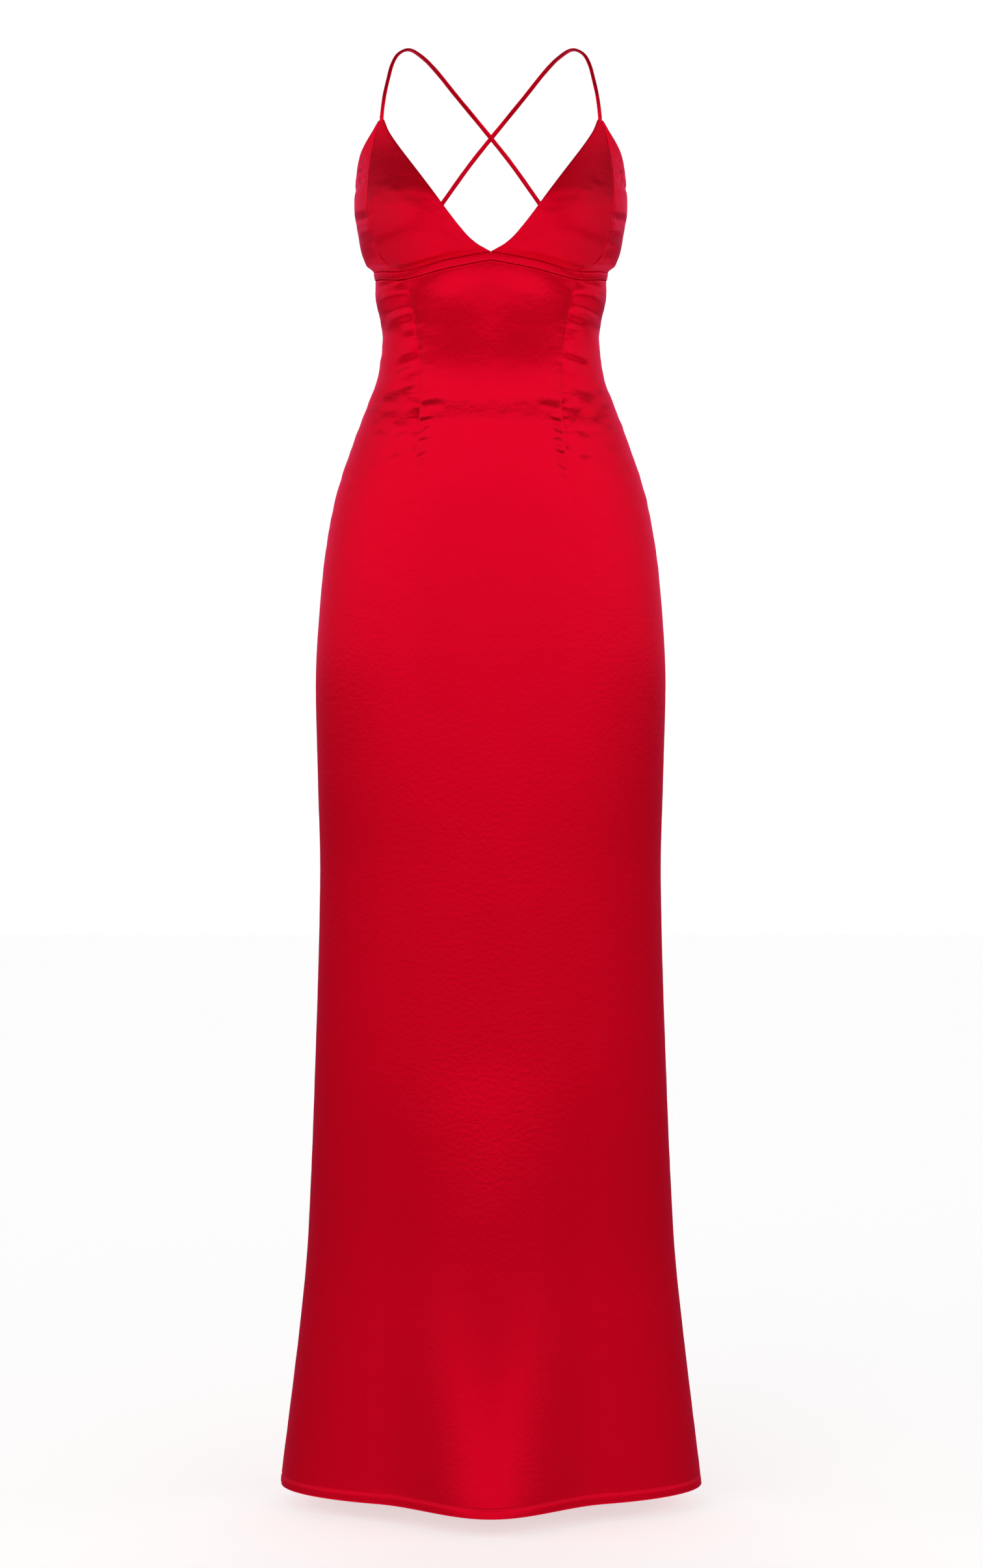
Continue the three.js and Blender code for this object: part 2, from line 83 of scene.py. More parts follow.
# A level camera straight before the dress: its lens is the sensor's width times the distance,
# over the height that the picture takes in there.
def makeCamera():
    lens = bpy.data.cameras.new("camera")
    lens.sensor_width = viewer["sensor"]
    lens.lens = viewer["sensor"] * viewer["distance"] / viewer["pictureHeight"]
    camera = bpy.data.objects.new("camera", lens)
    camera.location = (viewer["across"], -viewer["distance"], viewer["aim"])
    camera.rotation_euler = (math.radians(90), 0, 0)
    bpy.context.scene.collection.objects.link(camera)
    bpy.context.scene.camera = camera


# Sets a node's constant sockets from a table of their names and values.
def setSockets(node, values):
    for socket, value in values.items():
        node.inputs[socket].default_value = value


# Greys by one part of a direction, which runs from -1 to 1, from a table of places and greys.
def roomRamp(nodes, links, part, table):
    place = nodes.new("ShaderNodeMapRange")
    setSockets(place, {"From Min": -1})
    links.new(part, place.inputs["Value"])
    ramp = nodes.new("ShaderNodeValToRGB")
    stops = ramp.color_ramp.elements
    while len(stops) < len(table):
        stops.new(0.5)
    for stop, (at, bright) in zip(stops, table):
        stop.position = (at + 1) / 2
        stop.color = (bright, bright, bright, 1)
    links.new(place.outputs[0], ramp.inputs[0])
    return ramp.outputs["Color"]


# A plain white backdrop for the camera, and a room of soft light for everything else: the side
# room, mixed into the front room by how far a direction points ahead, times the flags.
def makeSurround():
    world = bpy.data.worlds.new("surround")
    bpy.context.scene.world = world
    world.use_nodes = True
    nodes, links = world.node_tree.nodes, world.node_tree.links
    nodes.clear()
    seen = nodes.new("ShaderNodeBackground")
    setSockets(seen, {"Strength": studio["backdrop"], "Color": (1, 1, 1, 1)})
    given = nodes.new("ShaderNodeBackground")
    setSockets(given, {"Strength": studio["glow"]})
    direction = nodes.new("ShaderNodeTexCoord")
    parts = nodes.new("ShaderNodeSeparateXYZ")
    links.new(direction.outputs["Generated"], parts.inputs[0])
    height, bearing = parts.outputs["Z"], parts.outputs["Y"]
    ahead = nodes.new("ShaderNodeMapRange")
    ahead.interpolation_type = "SMOOTHSTEP"
    setSockets(ahead, {"From Min": -studio["frontFrom"], "From Max": -studio["frontFull"]})
    links.new(bearing, ahead.inputs["Value"])
    room = nodes.new("ShaderNodeMix")
    room.data_type = "RGBA"
    links.new(ahead.outputs[0], room.inputs["Factor"])
    links.new(roomRamp(nodes, links, height, studio["sideRoom"]), room.inputs["A"])
    links.new(roomRamp(nodes, links, height, studio["frontRoom"]), room.inputs["B"])
    shaded = nodes.new("ShaderNodeMix")
    shaded.data_type = "RGBA"
    shaded.blend_type = "MULTIPLY"
    setSockets(shaded, {"Factor": 1})
    links.new(room.outputs["Result"], shaded.inputs["A"])
    links.new(roomRamp(nodes, links, bearing, studio["flags"]), shaded.inputs["B"])
    links.new(shaded.outputs["Result"], given.inputs["Color"])
    path = nodes.new("ShaderNodeLightPath")
    choose = nodes.new("ShaderNodeMixShader")
    output = nodes.new("ShaderNodeOutputWorld")
    links.new(path.outputs["Is Camera Ray"], choose.inputs[0])
    links.new(given.outputs[0], choose.inputs[1])
    links.new(seen.outputs[0], choose.inputs[2])
    links.new(choose.outputs[0], output.inputs["Surface"])


# One large softbox above the front for gentle shade; its power is its brightness times pi times
# its area.
def makeSoftbox():
    light = bpy.data.lights.new("softbox", "AREA")
    light.shape = "RECTANGLE"
    light.size, light.size_y = softbox["size"]
    light.energy = softbox["glow"] * math.pi * softbox["size"][0] * softbox["size"][1]
    lamp = bpy.data.objects.new("softbox", light)
    bearing, middle = math.radians(softbox["bearing"]), (cadBox[0].z + cadBox[1].z) / 2
    lamp.location = (
        math.sin(bearing) * softbox["distance"],
        -math.cos(bearing) * softbox["distance"],
        softbox["height"],
    )
    facing = Vector((0, 0, middle)) - lamp.location
    lamp.rotation_euler = facing.to_track_quat("-Z", "Y").to_euler()
    lamp.visible_camera = False
    lamp.visible_glossy = False
    bpy.context.scene.collection.objects.link(lamp)


# A flat four-cornered piece of the studio with a plain paint of its own.
def makeStagePiece(name, corners, paintValues):
    mesh = bpy.data.meshes.new(name)
    mesh.from_pydata(corners, [], [(0, 1, 2, 3)])
    piece = bpy.data.objects.new(name, mesh)
    paint = bpy.data.materials.new(name + "_paint")
    paint.use_nodes = True
    setSockets(paint.node_tree.nodes["Principled BSDF"], paintValues)
    mesh.materials.append(paint)
    bpy.context.scene.collection.objects.link(piece)
    return piece


# A matt pale floor that throws no light up the skirt and doesn't show in its gloss.
def makeFloor():
    low, half = cadBox[0].z - floor["below"], floor["half"]
    corners = [(-half, -half, low), (half, -half, low), (half, half, low), (-half, half, low)]
    ground = makeStagePiece("floor", corners, {
        "Base Color": floor["shade"],
        "Roughness": 0.9,
        "Specular IOR Level": 0.1,
        "Emission Color": (1, 1, 1, 1),
        "Emission Strength": floor["lift"],
    })
    ground.visible_glossy = False
    ground.visible_diffuse = False


# The screen is an even grey rectangle that the camera does not see.
def makeScreen():
    ahead, half = -screen["ahead"], screen["half"]
    low, high = screen["foot"], screen["top"]
    corners = [(half, ahead, low), (-half, ahead, low), (-half, ahead, high), (half, ahead, high)]
    panel = makeStagePiece("screen", corners, {
        "Base Color": (0, 0, 0, 1),
        "Specular IOR Level": 0,
        "Emission Color": (1, 1, 1, 1),
        "Emission Strength": screen["glow"],
    })
    panel.visible_camera = False


makeCamera()
makeSurround()
makeSoftbox()
makeFloor()
makeScreen()
bpy.context.scene.view_settings.view_transform = "Standard"
print("studio ready")

form = {
    # height, half width, depth in front, depth behind, power of the ring
    "sections": [
        (-60, 141.5, 76, 92, 2.2),
        (-110, 141.5, 91, 95, 2.2),
        (-150, 142, 106, 98, 2.2),
        (-178, 141.5, 111.5, 97, 2.2),
        (-208, 133.5, 107.5, 94, 2.2),
        (-238, 121.5, 99, 90, 2.2),
        (-262, 120.7, 97, 87, 2.2),
        (-283, 116, 95.6, 84, 2.2),
        (-305, 113.4, 93.6, 82, 2.2),
        (-345, 118.5, 90, 86.5, 2.2),
        (-372, 128.2, 91.6, 91.5, 2.2),
        (-405, 140.8, 99.6, 101, 2.2),
        (-466, 161, 109, 114, 2.2),
        (-527, 172.7, 112.5, 122, 2.2),
        (-595, 179.5, 114, 124, 2.2),
        (-660, 182.7, 114, 122, 2.2),
        (-760, 180.3, 112.5, 115, 2.2),
        (-864, 177.7, 110, 109, 2.15),
        (-1040, 182.2, 107, 105, 2.1),
        (-1240, 191.2, 108, 106, 2),
        (-1330, 200, 110, 110, 2),
        (-1499, 220.5, 114, 121, 2),
    ],
    "cup": {"x": 76, "z": -208, "out": 24, "halfWidth": 46, "above": 66, "below": 24},
    # ring angle, how far out at the hem, half width, height where it begins
    "folds": [(0, 48, 118, -1040), (148, 13, 70, -1100), (-150, 15, 62, -1060), (180, -9, 52, -1180)],
    "hem": -1499,
    "sideAngle": 92,
    "apex": -86,
    # height and half width
    "neckline": [
        (-229.8, 0), (-213, 22.5), (-200, 35), (-173, 55.5), (-130, 85.5), (-101, 104), (-86, 110),
    ],
    "cupSeam": [
        (-245, 91), (-229, 107), (-212, 114), (-195, 120),
        (-170, 122.2), (-124, 121.5), (-100, 118.8), (-86, 113),
    ],
    # ring angle and height
    "bustSeam": [(0, -229.8), (20, -237), (44, -245), (68, -240), (92, -235)],
    "openEdge": [
        (52.5, -86), (58.3, -98), (64.8, -108), (72, -119), (79.5, -138), (92, -168),
        (106, -196), (121, -220), (137, -236), (158, -246), (180, -250),
    ],
    # height and half width
    "frontDart": [(-245, 90), (-300, 79), (-357, 73.5), (-460, 79), (-510, 84), (-1499, 100)],
    "backDart": [(-200, 62), (-262, 56), (-330, 52), (-440, 60), (-480, 64), (-1499, 96)],
    "bandHeight": 7.5,
}


# A cubic from start to end as s runs from 0 to 1, which sets off at one slope and arrives at
# another: each value times its own blend, (1 + 2s)(1 - s)^2, s(1 - s)^2, s^2(3 - 2s) or s^2(s - 1).
def cubic(s, start, end, leave, arrive):
    return (
        start * (1 + 2 * s) * (1 - s) ** 2
        + leave * s * (1 - s) ** 2
        + end * s * s * (3 - 2 * s)
        + arrive * s * s * (s - 1)
    )


# A smooth curve through a table's rows: a cubic between each two, with each slope taken from
# the rows on both sides.
def smoothCurve(rows, column=1):
    table = np.array(sorted(rows), float)
    at, value = table[:, 0], table[:, column]
    count = np.arange(len(at))
    before, after = np.maximum(count - 1, 0), np.minimum(count + 1, len(at) - 1)
    slope = (value[after] - value[before]) / (at[after] - at[before])

    # the cubic between the two rows on either side of a place
    def curve(where):
        where = np.clip(where, at[0], at[-1])
        i = np.clip(np.searchsorted(at, where), 1, len(at) - 1)
        step = at[i] - at[i - 1]
        s = (where - at[i - 1]) / step
        return cubic(s, value[i - 1], value[i], slope[i - 1] * step, slope[i] * step)

    return curve


widthAt, frontAt, backAt, powerAt = (smoothCurve(form["sections"], column) for column in range(1, 5))
necklineX = smoothCurve(form["neckline"])
cupSeamX = smoothCurve(form["cupSeam"])
bustSeamZ = smoothCurve(form["bustSeam"])
openEdgeZ = smoothCurve(form["openEdge"])
frontDartX = smoothCurve(form["frontDart"])
backDartX = smoothCurve(form["backDart"])


# From a to b as the share goes from 0 to 1.
def mix(a, b, share):
    return a + (b - a) * share


# 0 before low, 1 after high, and 3s^2 - 2s^3 between them.
def ease(value, low, high):
    s = np.clip((value - low) / (high - low), 0, 1)
    return s * s * (3 - 2 * s)


# e^-(distance / width)^2: a soft ridge one width wide to each side.
def ridge(distance, width):
    return np.exp(-((distance / width) ** 2))


# How far the form stands out of its plain rings: a round hill for each cup, and skirt folds that
# rise with the power 1.6 of the way down, each a squared cosine across.
def fullness(x, z, angle):
    cup = form["cup"]
    across = (np.abs(x) - cup["x"]) / cup["halfWidth"]
    up = (z - cup["z"]) / np.where(z > cup["z"], cup["above"], cup["below"])
    inFront = np.abs(angle) < 90
    out = np.where(inFront, cup["out"] * np.exp(-across * across - up * up), 0)
    for foldAngle, foldOut, halfWidth, top in form["folds"]:
        rise = np.clip((top - z) / (top - form["hem"]), 0, 1)
        foldX = widthAt(z) * math.sin(math.radians(foldAngle))
        away = np.minimum(1, np.abs(x - foldX) / halfWidth)
        fold = foldOut * rise**1.6 * np.cos(away * math.pi / 2) ** 2
        out = out + np.where(inFront == (abs(foldAngle) < 90), fold, 0)
    return out


# A ring: half width times sine, depth times cosine, both times
# (|sine|^power + |cosine|^power)^(-1 / power), pushed out by the fullness.
def formPoint(angle, z):
    sine, cosine = np.sin(np.radians(angle)), np.cos(np.radians(angle))
    power = powerAt(z)
    reach = (np.abs(sine) ** power + np.abs(cosine) ** power) ** (-1 / power)
    x = widthAt(z) * sine * reach
    depth = np.where(cosine > 0, frontAt(z), backAt(z))
    side = np.minimum(1, np.abs(cosine) / 0.25)
    y = -depth * cosine * reach - np.sign(cosine) * side * fullness(x, z, angle)
    return np.stack(np.broadcast_arrays(x, y, z), -1)


# Each vector over its own length.
def unit(vectors):
    return vectors / np.maximum(np.linalg.norm(vectors, axis=-1, keepdims=True), 1e-12)


# Outwards from the form: the way down crossed with the way round.
def formNormal(angle, z):
    along = formPoint(angle + 0.5, z) - formPoint(angle - 0.5, z)
    down = formPoint(angle, z - 1) - formPoint(angle, z + 1)
    return unit(np.cross(down, along))


# The ring angle on the wearer's left where the form is x across, found by halving.
def angleAt(x, z, behind=False):
    x, z = np.broadcast_arrays(np.asarray(x, float), np.asarray(z, float))
    low, high = np.zeros(x.shape), np.full(x.shape, 90.0)
    for _ in range(30):
        middle = (low + high) / 2
        short = formPoint(middle, z)[..., 0] < x
        low, high = np.where(short, middle, low), np.where(short, high, middle)
    return 180 - low if behind else low


# Millimetres of cloth for one degree round the ring.
def perDegree(angle, z):
    return np.linalg.norm(formPoint(angle + 0.5, z) - formPoint(angle - 0.5, z), axis=-1)


print("form ready")

cloth = {
    "wall": 0.9,
    "hemWall": 2.2,
    "hemDepth": 9,
    "edge": 0.25,  # from the form's seam line to a piece's own edge
    "ends": (0.006, 0.018),  # the close columns or rows at each end of a piece, as shares of it
    "firstInside": 0.012,  # how much further in the even ones begin
    "rimBulge": 0.7,
    "tuck": 1.35,  # how deep a seam allowance lies under its neighbour
    "allowance": (3.6, 2.3, 1.2, 0.5),
    "rumples": {"waves": 26, "shortest": 9, "longest": 26},
    "drifts": {"waves": 7, "wide": 70, "high": 260, "from": 480, "full": 800},
}


# The hem is two layers of turned cloth, and the rest is one.
def clothWall(z):
    return np.where(z < form["hem"] + cloth["hemDepth"], cloth["hemWall"], cloth["wall"])


# Outward normals of a grid whose rows run down and whose columns run round.
def gridNormals(points):
    return unit(np.cross(np.gradient(points, axis=0), np.gradient(points, axis=1)))


# Distance along one axis of a grid, from its first point.
def gridLength(points, axis):
    steps = np.linalg.norm(np.diff(points, axis=axis), axis=-1)
    pad = [(1, 0), (0, 0)] if axis == 0 else [(0, 0), (1, 0)]
    return np.pad(np.cumsum(steps, axis=axis), pad)


# Puts points, quads and their flat places into a new object.
def makeObject(name, points, quads, flat, material):
    mesh = bpy.data.meshes.new(name)
    mesh.vertices.add(len(points))
    mesh.vertices.foreach_set("co", (points * mm).astype(np.float32).ravel())
    mesh.loops.add(quads.size)
    mesh.loops.foreach_set("vertex_index", quads.ravel().astype(np.int32))
    mesh.polygons.add(len(quads))
    mesh.polygons.foreach_set("loop_start", np.arange(0, quads.size, 4, dtype=np.int32))
    mesh.polygons.foreach_set("loop_total", np.full(len(quads), 4, np.int32))
    mesh.polygons.foreach_set("use_smooth", np.ones(len(quads), bool))
    places = mesh.uv_layers.new(name="cloth")
    places.data.foreach_set("uv", (flat[quads.ravel()] * mm).astype(np.float32).ravel())
    mesh.update(calc_edges=True)
    mesh.validate()
    mesh.materials.append(material)
    piece = bpy.data.objects.new(name, mesh)
    bpy.context.scene.collection.objects.link(piece)
    return piece


# A closed shell of cloth: its outer skin is the grid, its inner skin is the grid less its normals
# times the wall, and its rim is half round, in two steps between the skins. Its flat places are
# the way across and the height, turned by the grain, in degrees.
def clothShell(name, outer, wall, across, material, grain=0):
    rows, columns = outer.shape[:2]
    normals = gridNormals(outer)
    inner = outer - normals * wall[..., None]
    grid = np.arange(rows * columns).reshape(rows, columns)
    rim = np.concatenate([grid[0], grid[1:, -1], grid[-1, -2::-1], grid[-2:0:-1, 0]])
    outerFlat, innerFlat = outer.reshape(-1, 3), inner.reshape(-1, 3)
    outerRim, innerRim = outerFlat[rim], innerFlat[rim]
    forward = unit(np.roll(outerRim, -1, 0) - np.roll(outerRim, 1, 0))
    outwards = unit(np.cross(normals.reshape(-1, 3)[rim], forward))
    middle, half = (outerRim + innerRim) / 2, (outerRim - innerRim) / 2
    reach = np.linalg.norm(half, axis=1, keepdims=True) * cloth["rimBulge"]
    steps = [
        middle + half * math.cos(turn) + outwards * reach * math.sin(turn)
        for turn in (math.pi / 3, 2 * math.pi / 3)
    ]
    points = np.concatenate([outerFlat, innerFlat, *steps])
    cosine, sine = math.cos(math.radians(grain)), math.sin(math.radians(grain))
    high = outer[..., 2]
    flat = np.stack([across * cosine - high * sine, across * sine + high * cosine], -1).reshape(-1, 2)
    flat = np.concatenate([flat, flat, flat[rim], flat[rim]])
    count, edge = rows * columns, len(rim)
    a, b = grid[:-1, :-1].ravel(), grid[1:, :-1].ravel()
    c, d = grid[1:, 1:].ravel(), grid[:-1, 1:].ravel()
    quads = [np.stack([a, b, c, d], 1), np.stack([a, d, c, b], 1) + count]
    loops = [rim, 2 * count + np.arange(edge), 2 * count + edge + np.arange(edge), rim + count]
    for near, far in zip(loops[:-1], loops[1:]):
        quads.append(np.stack([near, np.roll(near, -1), np.roll(far, -1), far], 1))
    return makeObject(name, points, np.concatenate(quads), flat, material)


# Shares from 0 to 1 that lie close together at both ends.
def spaced(count):
    ends = np.array(cloth["ends"])
    first = ends[-1] + cloth["firstInside"]
    return np.concatenate([[0], ends, np.linspace(first, 1 - first, count), 1 - ends[::-1], [1]])


# The number of the last of spaced(count).
def lastOf(count):
    return count + 2 * len(cloth["ends"]) + 1


# The lift of a seam allowance: nothing well inside the seam, and down by the tuck beyond it.
def tucked(inside):
    return -cloth["tuck"] * (1 - ease(inside, -0.6, 1.1))


# The lift of a plain edge that meets a seam: it rolls down over the last millimetre or so.
def rolled(inside, depth=0.4):
    return -depth * np.exp(-np.maximum(inside, 0) / 0.8)


# Small uneven puckers along a seam, where its thread draws the cloth in; they reach a few
# millimetres from it.
def puckers(distance, along, size, reach):
    ripple = np.sin(along / 1.35) + 0.7 * np.sin(along / 0.83 + 1.1) + 0.8 * np.sin(along / 2.9 + 0.4)
    return size * ripple * np.exp(-np.abs(distance) / reach) * (1 - np.exp(-np.abs(distance) / 0.5))


# Each row of a crease table is x and z of both ends, half width and lift. A crease is the lift
# times a soft ridge across its line, and dies away to both ends.
def creases(x, z, rows):
    lift = np.zeros(np.broadcast(x, z).shape)
    for x0, z0, x1, z1, width, height in rows:
        length = math.hypot(x1 - x0, z1 - z0)
        alongX, alongZ = (x1 - x0) / length, (z1 - z0) / length
        along = ((x - x0) * alongX + (z - z0) * alongZ) / length
        off = (z - z0) * alongX - (x - x0) * alongZ
        fade = ease(along, -0.3, 0.3) * ease(-along, -1.3, -0.7)
        lift = lift + height * fade * ridge(off, width)
    return lift


# The same creases on both sides, those on the wearer's left a little moved and resized, so that
# the two sides are not twins. Tables are written for x above 0.
def pairedCreases(x, z, rows, seed):
    draw = np.random.default_rng(seed)
    moved = [
        (x0, z0 + shift, x1, z1 + shift + tilt, width * wide, height * size)
        for (x0, z0, x1, z1, width, height), shift, tilt, wide, size in zip(
            rows,
            draw.uniform(-2, 2, len(rows)),
            draw.uniform(-1, 1, len(rows)),
            draw.uniform(0.85, 1.2, len(rows)),
            draw.uniform(0.75, 1.2, len(rows)),
        )
    ]
    return np.where(x < 0, creases(-x, z, rows), creases(x, z, moved))


# Soft rumples of handled cloth: short plane waves in every direction, each equally steep.
def rumple(x, z, seed, size):
    draw = np.random.default_rng(seed)
    rumples = cloth["rumples"]
    lift = np.zeros(np.broadcast(x, z).shape)
    for _ in range(rumples["waves"]):
        length = draw.uniform(rumples["shortest"], rumples["longest"])
        way, turn = draw.uniform(0, math.pi), draw.uniform(0, 2 * math.pi)
        along = x * math.cos(way) + z * math.sin(way)
        lift = lift + length / 16 * np.sin(2 * math.pi * along / length + turn)
    return size * lift / math.sqrt(rumples["waves"])


# Slow unevenness of hanging cloth: long leaning waves that begin at the hips.
def drift(x, z, seed, size):
    draw = np.random.default_rng(seed)
    drifts = cloth["drifts"]
    wide, high = drifts["wide"], drifts["high"]
    lift = np.zeros(np.broadcast(x, z).shape)
    for _ in range(drifts["waves"]):
        acrossStep, upStep = draw.uniform(0.5, 1.6, 2)
        turn = draw.uniform(0, 2 * math.pi)
        lean = draw.uniform(-0.5, 0.5)
        lift = lift + np.sin(x * acrossStep / wide + z * upStep / high + lean * z / high + turn)
    return size * lift / 3 * ease(-z, drifts["from"], drifts["full"])


satin = {
    "colour": (0.9, 0.0, 0.013, 1),
    "deep": (0.85, 0.0, 0.009, 1),
    "metallic": 0.6,
    "roughness": 0.36,
    "stretch": 1.0,
    "gleam": 0.34,
    "gleamTint": (1, 0.14, 1, 1),
    "floats": (1400, 420, 1),  # warp floats per metre across and down
    "floatBump": 0.00006,
    "mottle": 210,
    "mottleBump": 0.0002,
    "cloudy": 26,
}
thread = {
    "colour": (0.78, 0.004, 0.03, 1),
    "roughness": 0.45,
    "gleam": 0.3,
    "twist": 900,
    "twistBump": 0.00005,
}
tapeWeave = {
    "colour": (0.5, 0.003, 0.02, 1),
    # the darker colour, painted shade in the grooves between the ribs
    "deep": (0.36, 0.002, 0.012, 1),
    "ribs": 250,
    "ribBump": 0.00008,
    "uneven": 0.6,
    "roughness": 0.75,
}
enamel = {
    "colour": (0.8, 0.004, 0.02, 1),
    "worn": (0.64, 0.006, 0.02, 1),
    "metallic": 0.7,
    "gleam": 0.2,
    "coat": 0.08,
    "roughness": (0.22, 0.42),
    "speck": 420,
    "speckBump": 0.00003,
}


# A new material with its nodes, links and main shader.
def newMaterial(name):
    material = bpy.data.materials.new(name)
    material.use_nodes = True
    nodes = material.node_tree.nodes
    return material, nodes, material.node_tree.links, nodes["Principled BSDF"]


# Soft noise from 0 to 1, of a scale in lumps per metre.
def noiseNode(nodes, links, place, scale, detail=2):
    noise = nodes.new("ShaderNodeTexNoise")
    setSockets(noise, {"Scale": scale, "Detail": detail})
    links.new(place, noise.inputs["Vector"])
    return noise.outputs["Fac"]


# A bump from a height of 0 to 1, times a depth in metres, on top of another bump if there is one.
def bumpNode(nodes, links, height, depth, under=None):
    bump = nodes.new("ShaderNodeBump")
    setSockets(bump, {"Distance": depth})
    links.new(height, bump.inputs["Height"])
    if under:
        links.new(under, bump.inputs["Normal"])
    return bump.outputs["Normal"]


# Base colour between two colours by a share from 0 to 1: two dyes on the satin, worn and fresh enamel, and
# on the zip tape its dye and painted shade in the grooves between its ribs.
def dyeAndShadeNode(nodes, links, share, deep, colour, shader):
    dye = nodes.new("ShaderNodeMix")
    dye.data_type = "RGBA"
    setSockets(dye, {"A": deep, "B": colour})
    links.new(share, dye.inputs["Factor"])
    links.new(dye.outputs["Result"], shader.inputs["Base Color"])


# Satin: long warp floats run up the cloth, so the gloss spreads across it; a fine speckle of
# uneven floats and a wider mottle break the gloss, and slow noise varies the dye.
def makeSatin():
    material, nodes, links, shader = newMaterial("satin")
    place = nodes.new("ShaderNodeUVMap")
    place.uv_map = "cloth"
    flat = place.outputs["UV"]
    floats = nodes.new("ShaderNodeMapping")
    floats.inputs["Scale"].default_value = satin["floats"]
    links.new(flat, floats.inputs["Vector"])
    speckle = noiseNode(nodes, links, floats.outputs["Vector"], 1)
    mottle = noiseNode(nodes, links, flat, satin["mottle"])
    coarse = bumpNode(nodes, links, mottle, satin["mottleBump"])
    links.new(bumpNode(nodes, links, speckle, satin["floatBump"], coarse), shader.inputs["Normal"])
    clouds = noiseNode(nodes, links, flat, satin["cloudy"], 3)
    dyeAndShadeNode(nodes, links, clouds, satin["deep"], satin["colour"], shader)
    tangent = nodes.new("ShaderNodeTangent")
    tangent.direction_type = "UV_MAP"
    tangent.uv_map = "cloth"
    links.new(tangent.outputs["Tangent"], shader.inputs["Tangent"])
    setSockets(shader, {
        "Metallic": satin["metallic"],
        "Roughness": satin["roughness"],
        "Anisotropic": satin["stretch"],
        "Specular IOR Level": satin["gleam"],
        "Specular Tint": satin["gleamTint"],
    })
    return material


# Sewing thread: a lustrous filament with a fine twist.
def makeThread():
    material, nodes, links, shader = newMaterial("thread")
    place = nodes.new("ShaderNodeTexCoord")
    twist = noiseNode(nodes, links, place.outputs["Object"], thread["twist"])
    links.new(bumpNode(nodes, links, twist, thread["twistBump"]), shader.inputs["Normal"])
    setSockets(shader, {
        "Base Color": thread["colour"],
        "Roughness": thread["roughness"],
        "Specular IOR Level": thread["gleam"],
    })
    return material


# Zip tape: matt fine ribs of a narrow weave, with its base colour darker in the grooves between the ribs
# as painted shade.
def makeTapeWeave():
    material, nodes, links, shader = newMaterial("zip_tape")
    place = nodes.new("ShaderNodeTexCoord")
    ribs = nodes.new("ShaderNodeTexWave")
    ribs.bands_direction = "Z"
    setSockets(ribs, {"Scale": tapeWeave["ribs"], "Distortion": tapeWeave["uneven"]})
    links.new(place.outputs["Object"], ribs.inputs["Vector"])
    height = ribs.outputs["Fac"]
    # painted shade: the rib height darkens the base colour in the grooves
    dyeAndShadeNode(nodes, links, height, tapeWeave["deep"], tapeWeave["colour"], shader)
    links.new(bumpNode(nodes, links, height, tapeWeave["ribBump"]), shader.inputs["Normal"])
    setSockets(shader, {"Roughness": tapeWeave["roughness"]})
    return material


# Metal enamel on the slider and its pull, its gloss and colour a little uneven.
def makeEnamel():
    material, nodes, links, shader = newMaterial("zip_enamel")
    place = nodes.new("ShaderNodeTexCoord")
    speck = noiseNode(nodes, links, place.outputs["Object"], enamel["speck"], 3)
    dyeAndShadeNode(nodes, links, speck, enamel["worn"], enamel["colour"], shader)
    links.new(bumpNode(nodes, links, speck, enamel["speckBump"]), shader.inputs["Normal"])
    gloss = nodes.new("ShaderNodeMapRange")
    smooth, rubbed = enamel["roughness"]
    setSockets(gloss, {"To Min": smooth, "To Max": rubbed})
    links.new(speck, gloss.inputs["Value"])
    links.new(gloss.outputs[0], shader.inputs["Roughness"])
    setSockets(shader, {
        "Metallic": enamel["metallic"],
        "Specular IOR Level": enamel["gleam"],
        "Coat Weight": enamel["coat"],
    })
    return material


satinCloth, threadRed = makeSatin(), makeThread()
tapeRed, enamelRed = makeTapeWeave(), makeEnamel()
print("materials ready")


# Gives a piece of cloth its body, and hides its part from model.glb.
def finishCloth(piece, nodeName):
    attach(piece, "dress")
    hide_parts(nodeName)


# Moves the form's points out along their normals by the lifts, and makes the shell. A piece of
# the wearer's right, side -1, comes with its angles as on the left and is turned over here. Its
# flat places count from the origin column. It gives back the outer grid.
def sewPiece(
    name, angle, z, lift, wall, side=1, origin=0, slot="satin", grain=0
):
    angle, z, lift, wall = (grid[:, ::side] for grid in (side * angle, z, lift, wall))
    plain = formPoint(angle, z)
    points = plain + formNormal(angle, z) * lift[..., None]
    across = gridLength(plain, 1)
    across = across - across[:, [origin]]
    material = tapeRed if slot == "zip_tape" else satinCloth
    piece = clothShell(name + "_cloth", points, wall, across, material, side * grain)
    finishCloth(piece, name)
    return points


